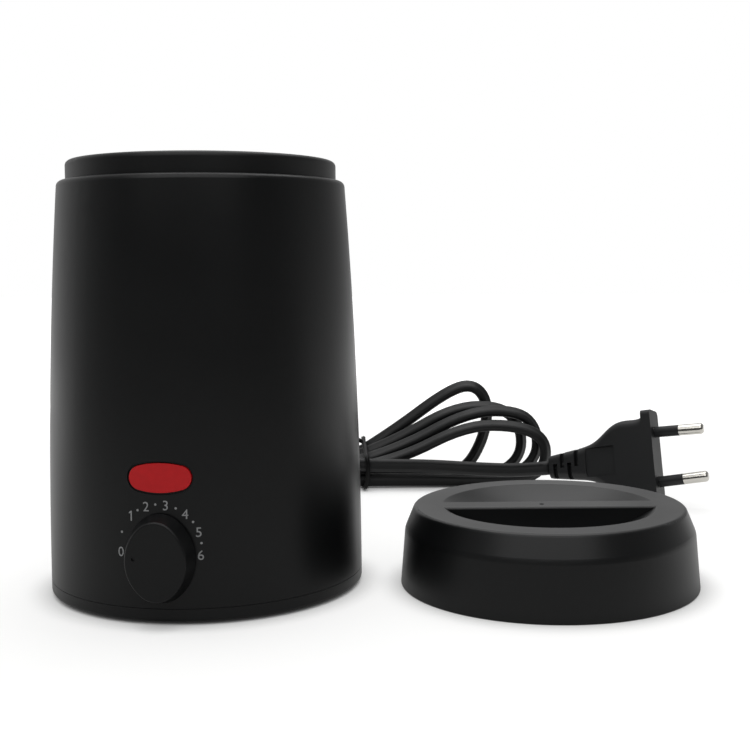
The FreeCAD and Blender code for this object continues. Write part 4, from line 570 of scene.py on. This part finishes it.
class WARMER_OT_tie(bpy.types.Operator):
    """Twist tie round the hank's waist"""

    bl_idname = "warmer.tie"
    bl_label = "Twist tie"

    def execute(self, context):
        sizes = context.scene.warmer_cord
        band = smooth_line([hank_place(*corner) for corner in TIE_BAND], closed=True, resolution=5)
        half = sizes.tie_width / 2
        thin = sizes.tie_thickness / 2
        strip = [(-half, -thin), (0, -thin), (half, -thin), (half, thin * EDGE),
                 (half * RIDGE_FOOT, thin * SHOULDER), (0, thin * RIDGE),
                 (-half * RIDGE_FOOT, thin * SHOULDER), (-half, thin * EDGE)]
        across = hank_way(0)
        mesh = strip_mesh("cord_tie_band", band, strip, across, closed=True)
        # PVC strip over a wire core: darker and duller than the cord, with a ridge down its middle
        vinyl = extruded_pvc("Calendered PVC strip", context.scene.warmer_finishes.tie, roughness=0.4,
                             gloss_level=0.15)
        piece = new_piece("cord_tie_band", mesh, vinyl, "housing")
        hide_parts("cord_tie")
        root = hank_place(*TIE_KNOT)
        narrow = [(a * END_WIDTH, b) for a, b in strip]
        for end, lean in enumerate(END_LEANS):
            tip = [root]
            for turn, reach, spread in END_POINTS:
                tip.append(root + hank_way(lean + turn) * reach - Vector((0, spread * end, 0)))
            twist = strip_mesh("cord_tie_end", smooth_line(tip, resolution=10), narrow, across,
                               lambda travelled, length, end=end: travelled / END_TWIST + math.pi * end)
            new_piece(f"cord_tie_end_{end}", twist, vinyl, "housing")
        return {"FINISHED"}


class WARMER_OT_casing(bpy.types.Operator):
    """Finishes of the casing, base and collar"""

    bl_idname = "warmer.casing"
    bl_label = "Casing"

    def execute(self, context):
        colours = context.scene.warmer_finishes
        # ABS from a spark-eroded tool: satin black that brightens softly towards its edges.
        # The grain is drawn about three times as coarse as the real one, so that it shows at this size.
        casing = moulded("Moulded ABS casing", colours.casing, roughness=0.34, drift=0.03, grain=0.7,
                         depth=0.012, gloss_level=0.28)
        dress(casing, "outer_shell", "base_cover")
        # glass-filled phenolic: a drier black than the casing
        collar = moulded("Moulded phenolic collar", colours.collar, roughness=0.39, drift=0.04, grain=0.9,
                         depth=0.018, ior=1.55, gloss_level=0.26)
        dress(collar, "rim_collar")
        # nitrile rubber foot: dull, with a fine talc bloom
        foot = moulded("Moulded nitrile foot", linear("161616"), roughness=0.78, drift=0.06, grain=1.4,
                       depth=0.03)
        dress(foot, "foot_ring")
        # zinc plate: cool, cloudy grey
        zinc = plated_metal("Zinc-plated steel", linear("B9BCC0"), roughness=0.34, cloud_size=2.2,
                            spread=0.08)
        dress(zinc, "base_screws", "strap_screws", "clamp_screws", "terminal_screws", "thermostat_plate",
              "thermostat_rivet")
        return {"FINISHED"}


class WARMER_OT_dial(bpy.types.Operator):
    """Finish of the dial knob"""

    bl_idname = "warmer.dial"
    bl_label = "Dial knob"

    def execute(self, context):
        # ABS knob: finer tool finish than the casing, so its rim draws one thin highlight
        knob = moulded("Moulded ABS knob", context.scene.warmer_finishes.knob, roughness=0.36, drift=0.03,
                       grain=0.55, depth=0.008, gloss_level=0.28)
        dress(knob, "dial_knob")
        return {"FINISHED"}


# Outline of the number 1, in shares of its height
NUMBER_ONE = ((-0.02, -0.5), (0.12, -0.5), (0.12, 0.5), (0.03, 0.5), (-0.2, 0.36), (-0.2, 0.22),
              (-0.02, 0.31))
# Height of a number as a share of its font's size
NUMBER_SHARE = 0.73
# Numbers and dots from the 1 to the 6, half a step apart
HALF_STEPS = 11
# Half the depth that a mark has before it is laid on the casing, in metres
MARK_HALF = 0.5
# How deep the ink's back is sunk in the casing, and how close two corners are merged, in metres
INK_SUNK, MERGE = 0.15 * MM, 1e-6
# Sides of a dot, and steps of a number's curves
DOT_SIDES, NUMBER_STEPS = 24, 8


class WARMER_OT_scale(bpy.types.Operator):
    """Printed numbers and dots round the dial"""

    bl_idname = "warmer.scale"
    bl_label = "Printed scale"

    def marks(self, settings):
        """Text and angle of each mark, from the 0 clockwise."""
        marks = [("0", settings.first), ("", (settings.first + settings.one) / 2)]
        for half_step in range(HALF_STEPS):
            turn = settings.step * half_step + settings.growth * half_step ** 2
            marks.append(("" if half_step % 2 else str(half_step // 2 + 1), settings.one - turn))
        return marks

    def add_one(self, settings):
        """The number 1, as a stem with a slanted flag."""
        shape = bmesh.new()
        size = settings.digit
        face = shape.faces.new([shape.verts.new((x * size, y * size, -MARK_HALF)) for x, y in NUMBER_ONE])
        raised = bmesh.ops.extrude_face_region(shape, geom=[face])["geom"]
        front = [part for part in raised if isinstance(part, bmesh.types.BMVert)]
        bmesh.ops.translate(shape, vec=(0, 0, 2 * MARK_HALF), verts=front)
        mesh = bpy.data.meshes.new("number_one")
        shape.to_mesh(mesh)
        shape.free()
        number = bpy.data.objects.new("number_one", mesh)
        bpy.context.scene.collection.objects.link(number)
        number.select_set(True)
        bpy.context.view_layer.objects.active = number

    def add_mark(self, text, settings):
        """A flat mark round the origin, its front towards +Z."""
        deselect()
        if text == "1":
            self.add_one(settings)
        elif text:
            bpy.ops.object.text_add(location=(0, 0, 0))
            letter = bpy.context.object
            letter.data.body = text
            letter.data.size = settings.digit / NUMBER_SHARE
            letter.data.align_x = "CENTER"
            letter.data.offset_y = -settings.digit / 2
            letter.data.resolution_u = NUMBER_STEPS
            letter.data.extrude = MARK_HALF
            bpy.ops.object.convert(target="MESH")
        else:
            bpy.ops.mesh.primitive_cylinder_add(vertices=DOT_SIDES, radius=settings.dot, depth=2 * MARK_HALF)
        return bpy.context.object

    def execute(self, context):
        settings = context.scene.warmer_scale
        # pad-printed ink: flat grey, a little drier than the plastic under it
        ink = moulded("Pad-printed ink", context.scene.warmer_finishes.ink, roughness=0.55, drift=0.03,
                      grain=0.5, depth=0.004, ior=1.5)
        for index, (text, degrees) in enumerate(self.marks(settings)):
            mark = self.add_mark(text, settings)
            angle = math.radians(degrees)
            for vertex in mark.data.vertices:
                x = settings.aside + settings.radius * math.cos(angle) + vertex.co.x
                z = settings.height + settings.radius * math.sin(angle) + vertex.co.y
                out = settings.ink_proud if vertex.co.z > 0 else -INK_SUNK
                radius = side_radius(z / MM) * MM + out
                vertex.co = (x, -math.sqrt(radius ** 2 - x ** 2), z)
            mark.data.update()
            kind = "number" if text else "dot"
            mark.name = f"scale_{kind}_{index}"
            mark.data.name = mark.name
            mark.data.materials.append(ink)
            bpy.ops.object.mode_set(mode="EDIT")
            bpy.ops.mesh.select_all(action="SELECT")
            bpy.ops.mesh.remove_doubles(threshold=MERGE)
            bpy.ops.mesh.normals_make_consistent(inside=False)
            bpy.ops.object.mode_set(mode="OBJECT")
            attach(mark, "housing")
        return {"FINISHED"}


# Frosted back of the lens: size and depth of its grain in millimetres, its relief, and its extreme tones
FROST_SIZE, FROST_DEPTH, FROST_RELIEF, FROST_DARK, FROST_LIGHT = 1.6, 0.02, 0.3, 0.88, 1.12


class WARMER_OT_lamp(bpy.types.Operator):
    """Finishes of the pilot lens and what is behind it"""

    bl_idname = "warmer.lamp"
    bl_label = "Pilot lamp"

    def execute(self, context):
        red = context.scene.warmer_finishes.lens
        # red acrylic with a frosted back: an even red with a soft sheen
        material, tree, shader = surface("Frosted red acrylic", red, roughness=0.34, IOR=1.49,
                                         Specular_IOR_Level=0.25)
        place = add(tree, "ShaderNodeTexCoord").outputs["Object"]
        frost = add(tree, "ShaderNodeTexNoise", inputs={"Scale": 1 / (FROST_SIZE * MM), "Detail": 4.0},
                    links={"Vector": place})
        tone = add(tree, "ShaderNodeMix", {"data_type": "RGBA"},
                   {MIX_FIRST: scaled(red, FROST_DARK), MIX_SECOND: scaled(red, FROST_LIGHT)},
                   {0: frost.outputs["Fac"]})
        bump = add(tree, "ShaderNodeBump", inputs={"Strength": FROST_RELIEF, "Distance": FROST_DEPTH * MM},
                   links={"Height": frost.outputs["Fac"]})
        tree.links.new(tone.outputs[MIX_COLOUR], shader.inputs["Base Color"])
        tree.links.new(bump.outputs["Normal"], shader.inputs["Normal"])
        dress(material, "indicator_lens")
        # white polyamide: waxy, with a faint mould grain
        nylon = moulded("Moulded polyamide", linear("D8D6CE"), roughness=0.5, drift=0.05, grain=0.9,
                        depth=0.02)
        dress(nylon, "lamp_holder", "cord_clamp", "terminal_block", "thermal_fuse")
        # clear lamp glass with a warm tint
        glass = surface("Drawn lamp glass", linear("F2DCC8"), roughness=0.08, IOR=1.47,
                        Transmission_Weight=0.85)[0]
        dress(glass, "neon_lamp")
        return {"FINISHED"}


class WARMER_OT_lid(bpy.types.Operator):
    """Finish of the loose lid"""

    bl_idname = "warmer.lid"
    bl_label = "Lid"

    def execute(self, context):
        # ABS lid: a deeper black than the casing's, greyer where it is seen at a low angle
        lid = moulded("Moulded ABS lid", context.scene.warmer_finishes.lid, roughness=0.36, drift=0.03,
                      grain=0.7, depth=0.015, gloss_level=0.36)
        dress(lid, "lid")
        return {"FINISHED"}


class WARMER_OT_plug(bpy.types.Operator):
    """Finishes of the plug, its pins and the cord's gland"""

    bl_idname = "warmer.plug"
    bl_label = "Plug and gland"

    def execute(self, context):
        colours = context.scene.warmer_finishes
        # overmoulded PVC: soft satin black
        plug = moulded("Overmoulded PVC plug", colours.plug, roughness=0.45, drift=0.05, grain=0.8,
                       depth=0.016, gloss_level=0.32)
        dress(plug, "plug_body", "pin_sleeves")
        # flexible PVC gland: the cord's black, with the plug's grain
        gland = moulded("Moulded PVC gland", colours.cord, roughness=0.5, drift=0.05, grain=0.8, depth=0.016)
        dress(gland, "cord_gland", "supply_tail")
        # nickel plate on turned brass: bright and slightly warm
        nickel = plated_metal("Nickel-plated brass", linear("D9D6CF"), roughness=0.16, cloud_size=3.0,
                              spread=0.05)
        dress(nickel, "plug_pins")
        return {"FINISHED"}


class WARMER_OT_pot(bpy.types.Operator):
    """Finishes of the well, the lift-out pot and its bail"""

    bl_idname = "warmer.pot"
    bl_label = "Pot and well"

    def execute(self, context):
        # spun aluminium: fine rings round the axis, drawn coarser than the real ones so that they show
        spun = turned_metal("Spun aluminium", linear("D3D4D6"), roughness=0.3, line=0.9, depth=0.01)
        dress(spun, "wax_pot", "heating_well")
        # drawn stainless wire: bright, with a slight drawing haze
        wire = plated_metal("Drawn stainless wire", linear("C9C9C8"), roughness=0.22, cloud_size=1.6,
                            spread=0.06)
        dress(wire, "bail_handle", "heater_straps", "fuse_clip")
        return {"FINISHED"}


class WARMER_OT_heater(bpy.types.Operator):
    """Finishes of the heater, its sleeve and the thermostat"""

    bl_idname = "warmer.heater"
    bl_label = "Heater and thermostat"

    def execute(self, context):
        # mica heater in a steel jacket: a straw-grey heat tint, cloudy on its rolled face
        jacket = plated_metal("Heat-tinted steel jacket", linear("A79F90"), roughness=0.38, cloud_size=7.0,
                              spread=0.1)
        dress(jacket, "heater_band")
        # needled glass fibre: pale, dry and fuzzy
        fibre = moulded("Needled glass fibre", linear("C9C0AE"), roughness=0.9, drift=0.05, grain=1.1,
                        depth=0.25)
        dress(fibre, "insulation_sleeve")
        # turned brass: yellow, with a light tarnish
        brass = plated_metal("Turned brass", linear("C8A55A"), roughness=0.28, cloud_size=2.6, spread=0.08)
        dress(brass, "thermostat_shaft", "thermostat_bush", "thermostat_nut", "contact_leaves")
        # bimetal: two rolled alloys, dull grey-gold
        bimetal = plated_metal("Rolled bimetal", linear("A79C86"), roughness=0.36, cloud_size=3.0,
                               spread=0.08)
        dress(bimetal, "bimetal_strip")
        # steatite beads: chalky cream ceramic
        steatite = moulded("Fired steatite", linear("DDD3BF"), roughness=0.7, drift=0.06, grain=0.6,
                           depth=0.03, ior=1.6)
        dress(steatite, "thermostat_beads")
        return {"FINISHED"}


class WARMER_OT_wiring(bpy.types.Operator):
    """Finish of the inner leads"""

    bl_idname = "warmer.wiring"
    bl_label = "Inner leads"

    def execute(self, context):
        # silicone-sleeved leads: pale and rubbery
        silicone = moulded("Extruded silicone lead", linear("CFC9BD"), roughness=0.6, drift=0.06, grain=0.7,
                           depth=0.03, ior=1.43)
        dress(silicone, "live_lead", "neutral_lead", "fuse_leads", "lamp_leads", "supply_cores")
        return {"FINISHED"}


# Floor: its side, where its reflection starts and ends in depth, where its white starts and ends, in metres
FLOOR_SIZE = 6
SHINE_FROM, SHINE_TO, SHINE_SHARE = -0.1, 0.12, 0.7
WHITE_FROM, WHITE_TO = 0.2, 0.7
# How far the painted contact shade under the pieces reaches on the floor, in metres, and the samples it takes
CONTACT_SHADOW, SHADOW_SAMPLES = 0.008, 16
# Where the surround starts and stops changing, along a unit direction: front to back, then left to right
FRONT_END, BACK_END, LEFT_END, RIGHT_END = -1.0, 0.6, -0.2, 0.8
# Sockets of a mix node for numbers
MIX_SHARE, MIX_HIDDEN, MIX_SEEN = 0, 2, 3
# Softboxes: place, point aimed at, width and height, in metres
TOP_BOX = ((0.05, 0.22, 0.95), (0.04, 0.05, 0.0), 0.9, 0.9)
FRONT_BOX = ((0.05, -0.62, 0.68), (0.04, 0.0, 0.03), 1.3, 0.7)
# Camera: place and nearest depth in metres, directions, and sensor's width in millimetres
CAMERA_PLACE = (0.095196, -0.327397, 0.09093)
CAMERA_FORWARD = (-0.1185, 0.99086, -0.06446)
CAMERA_UP = (0.00049, 0.06498, 0.99789)
SENSOR_WIDTH, NEAREST = 36, 0.01
# how far the picture is shifted, in pixels of a square picture with this side
SHIFT_RIGHT, SHIFT_UP, PICTURE_SIDE = -25, -35, 750


class WARMER_OT_stage(bpy.types.Operator):
    """Pale floor, white surround with a dim camera side, two softboxes and camera"""

    bl_idname = "warmer.stage"
    bl_label = "Studio"

    def add_floor(self, settings):
        """Pale floor that stays white to the camera away from the shadows, with painted contact shade under
        the pieces.
        """
        deselect()
        bpy.ops.mesh.primitive_plane_add(size=FLOOR_SIZE, location=(0, 0, 0))
        floor = bpy.context.object
        floor.name = "studio_floor"
        material, tree, shader = surface("Pale paper floor", settings.floor, roughness=0.9,
                                         Specular_IOR_Level=0.1)
        rays = add(tree, "ShaderNodeLightPath")
        place = add(tree, "ShaderNodeTexCoord").outputs["Object"]
        parts = add(tree, "ShaderNodeSeparateXYZ", links={"Vector": place})
        behind = add(tree, "ShaderNodeMapRange", {"interpolation_type": "SMOOTHSTEP"},
                     {"From Min": SHINE_FROM, "From Max": SHINE_TO, "To Min": 0.0, "To Max": SHINE_SHARE},
                     {"Value": parts.outputs["Y"]})
        shine = add(tree, "ShaderNodeMath", {"operation": "MULTIPLY"},
                    links={0: rays.outputs["Is Glossy Ray"], 1: behind.outputs["Result"]})
        direct = add(tree, "ShaderNodeMath", {"operation": "MAXIMUM"},
                     links={0: rays.outputs["Is Camera Ray"], 1: rays.outputs["Is Transmission Ray"]})
        clear = add(tree, "ShaderNodeMath", {"operation": "MAXIMUM"},
                    links={0: direct.outputs["Value"], 1: shine.outputs["Value"]})
        out = add(tree, "ShaderNodeVectorMath", {"operation": "LENGTH"}, links={0: place})
        white = add(tree, "ShaderNodeMapRange", {"interpolation_type": "SMOOTHSTEP"},
                    {"From Min": WHITE_FROM, "From Max": WHITE_TO, "To Min": settings.lift, "To Max": 1.0},
                    {"Value": out.outputs["Value"]})
        # close under the pieces the added white fades out with their ambient occlusion: painted contact
        # shade, which keeps their shadows dark
        open_sky = add(tree, "ShaderNodeAmbientOcclusion", {"samples": SHADOW_SAMPLES},
                       {"Distance": CONTACT_SHADOW})
        near = add(tree, "ShaderNodeMath", {"operation": "MULTIPLY"},
                   links={0: white.outputs["Result"], 1: open_sky.outputs["AO"]})
        lift = add(tree, "ShaderNodeMath", {"operation": "MULTIPLY"},
                   links={0: clear.outputs["Value"], 1: near.outputs["Value"]})
        glow = add(tree, "ShaderNodeEmission", inputs={"Color": (1, 1, 1, 1)},
                   links={"Strength": lift.outputs["Value"]})
        both = add(tree, "ShaderNodeAddShader",
                   links={0: shader.outputs["BSDF"], 1: glow.outputs["Emission"]})
        tree.links.new(both.outputs["Shader"], tree.nodes["Material Output"].inputs["Surface"])
        floor.data.materials.append(material)

    def add_surround(self, settings):
        """World that is white behind, dims towards the camera's side, and is white to the camera."""
        world = bpy.data.worlds.new("Studio surround")
        bpy.context.scene.world = world
        world.use_nodes = True
        tree = world.node_tree
        back = tree.nodes["Background"]
        place = add(tree, "ShaderNodeTexCoord").outputs["Generated"]
        parts = add(tree, "ShaderNodeSeparateXYZ", links={"Vector": place})
        level = add(tree, "ShaderNodeMapRange", {"interpolation_type": "SMOOTHSTEP"},
                    {"From Min": FRONT_END, "From Max": BACK_END, "To Min": settings.front,
                     "To Max": settings.ambient},
                    {"Value": parts.outputs["Y"]})
        right = add(tree, "ShaderNodeMapRange", {"interpolation_type": "SMOOTHSTEP"},
                    {"From Min": LEFT_END, "From Max": RIGHT_END, "To Min": 1.0, "To Max": settings.right},
                    {"Value": parts.outputs["X"]})
        level = add(tree, "ShaderNodeMath", {"operation": "MULTIPLY"},
                    links={0: level.outputs["Result"], 1: right.outputs["Result"]})
        rays = add(tree, "ShaderNodeLightPath")
        clear = add(tree, "ShaderNodeMath", {"operation": "MAXIMUM"},
                    links={0: rays.outputs["Is Camera Ray"], 1: rays.outputs["Is Transmission Ray"]})
        seen = add(tree, "ShaderNodeMix", {"data_type": "FLOAT"}, {MIX_SEEN: 1.0},
                   {MIX_SHARE: clear.outputs["Value"], MIX_HIDDEN: level.outputs["Value"]})
        tree.links.new(seen.outputs["Result"], back.inputs["Strength"])
        back.inputs["Color"].default_value = (1, 1, 1, 1)

    def add_lamp(self, name, place, aim, width, height, power):
        """Softbox aimed at a point."""
        deselect()
        bpy.ops.object.light_add(type="AREA", location=place)
        lamp = bpy.context.object
        lamp.name = name
        lamp.data.shape = "RECTANGLE"
        lamp.data.size = width
        lamp.data.size_y = height
        lamp.data.energy = power
        lamp.rotation_euler = (Vector(aim) - Vector(place)).to_track_quat("-Z", "Y").to_euler()

    def add_camera(self, settings):
        """Camera at the photograph's viewpoint."""
        deselect()
        bpy.ops.object.camera_add(location=CAMERA_PLACE)
        camera = bpy.context.object
        camera.name = "photo_camera"
        forward = Vector(CAMERA_FORWARD).normalized()
        right = forward.cross(Vector(CAMERA_UP)).normalized()
        camera.rotation_euler = Matrix((right, right.cross(forward), -forward)).transposed().to_euler()
        camera.data.sensor_width = SENSOR_WIDTH
        camera.data.lens = settings.lens
        camera.data.shift_x = SHIFT_RIGHT / PICTURE_SIDE
        camera.data.shift_y = SHIFT_UP / PICTURE_SIDE
        camera.data.clip_start = NEAREST
        bpy.context.scene.camera = camera

    def execute(self, context):
        settings = context.scene.warmer_stage
        self.add_floor(settings)
        self.add_surround(settings)
        self.add_lamp("softbox_top", *TOP_BOX, settings.top_lamp)
        self.add_lamp("softbox_front", *FRONT_BOX, settings.front_lamp)
        self.add_camera(settings)
        context.scene.view_settings.view_transform = "Standard"
        return {"FINISHED"}


class WARMER_PT_pieces(bpy.types.Panel):
    """Buttons for each group of pieces"""

    bl_idname = "WARMER_PT_pieces"
    bl_label = "Wax warmer"
    bl_space_type = "VIEW_3D"
    bl_region_type = "UI"
    bl_category = "Wax warmer"

    def draw(self, context):
        for operator in OPERATORS:
            self.layout.operator(operator.bl_idname)


OPERATORS = (WARMER_OT_stage, WARMER_OT_cord, WARMER_OT_tie, WARMER_OT_casing, WARMER_OT_dial,
             WARMER_OT_scale, WARMER_OT_lamp, WARMER_OT_lid, WARMER_OT_plug, WARMER_OT_pot,
             WARMER_OT_heater, WARMER_OT_wiring)
SETTINGS = {"warmer_finishes": WarmerFinishes, "warmer_scale": WarmerScale, "warmer_cord": WarmerCord,
            "warmer_stage": WarmerStage}
CLASSES = (*SETTINGS.values(), *OPERATORS, WARMER_PT_pieces)


def register():
    """Register the classes and hang the settings on the scene."""
    for kind in CLASSES:
        bpy.utils.register_class(kind)
    for name, kind in SETTINGS.items():
        setattr(bpy.types.Scene, name, bpy.props.PointerProperty(type=kind))


def unregister():
    """Take the settings and classes away again."""
    for name in SETTINGS:
        delattr(bpy.types.Scene, name)
    for kind in reversed(CLASSES):
        bpy.utils.unregister_class(kind)


def main():
    """Register the classes and build every piece."""
    register()
    for operator in OPERATORS:
        group, _, action = operator.bl_idname.partition(".")
        getattr(getattr(bpy.ops, group), action)()


if __name__ == "__main__":
    main()
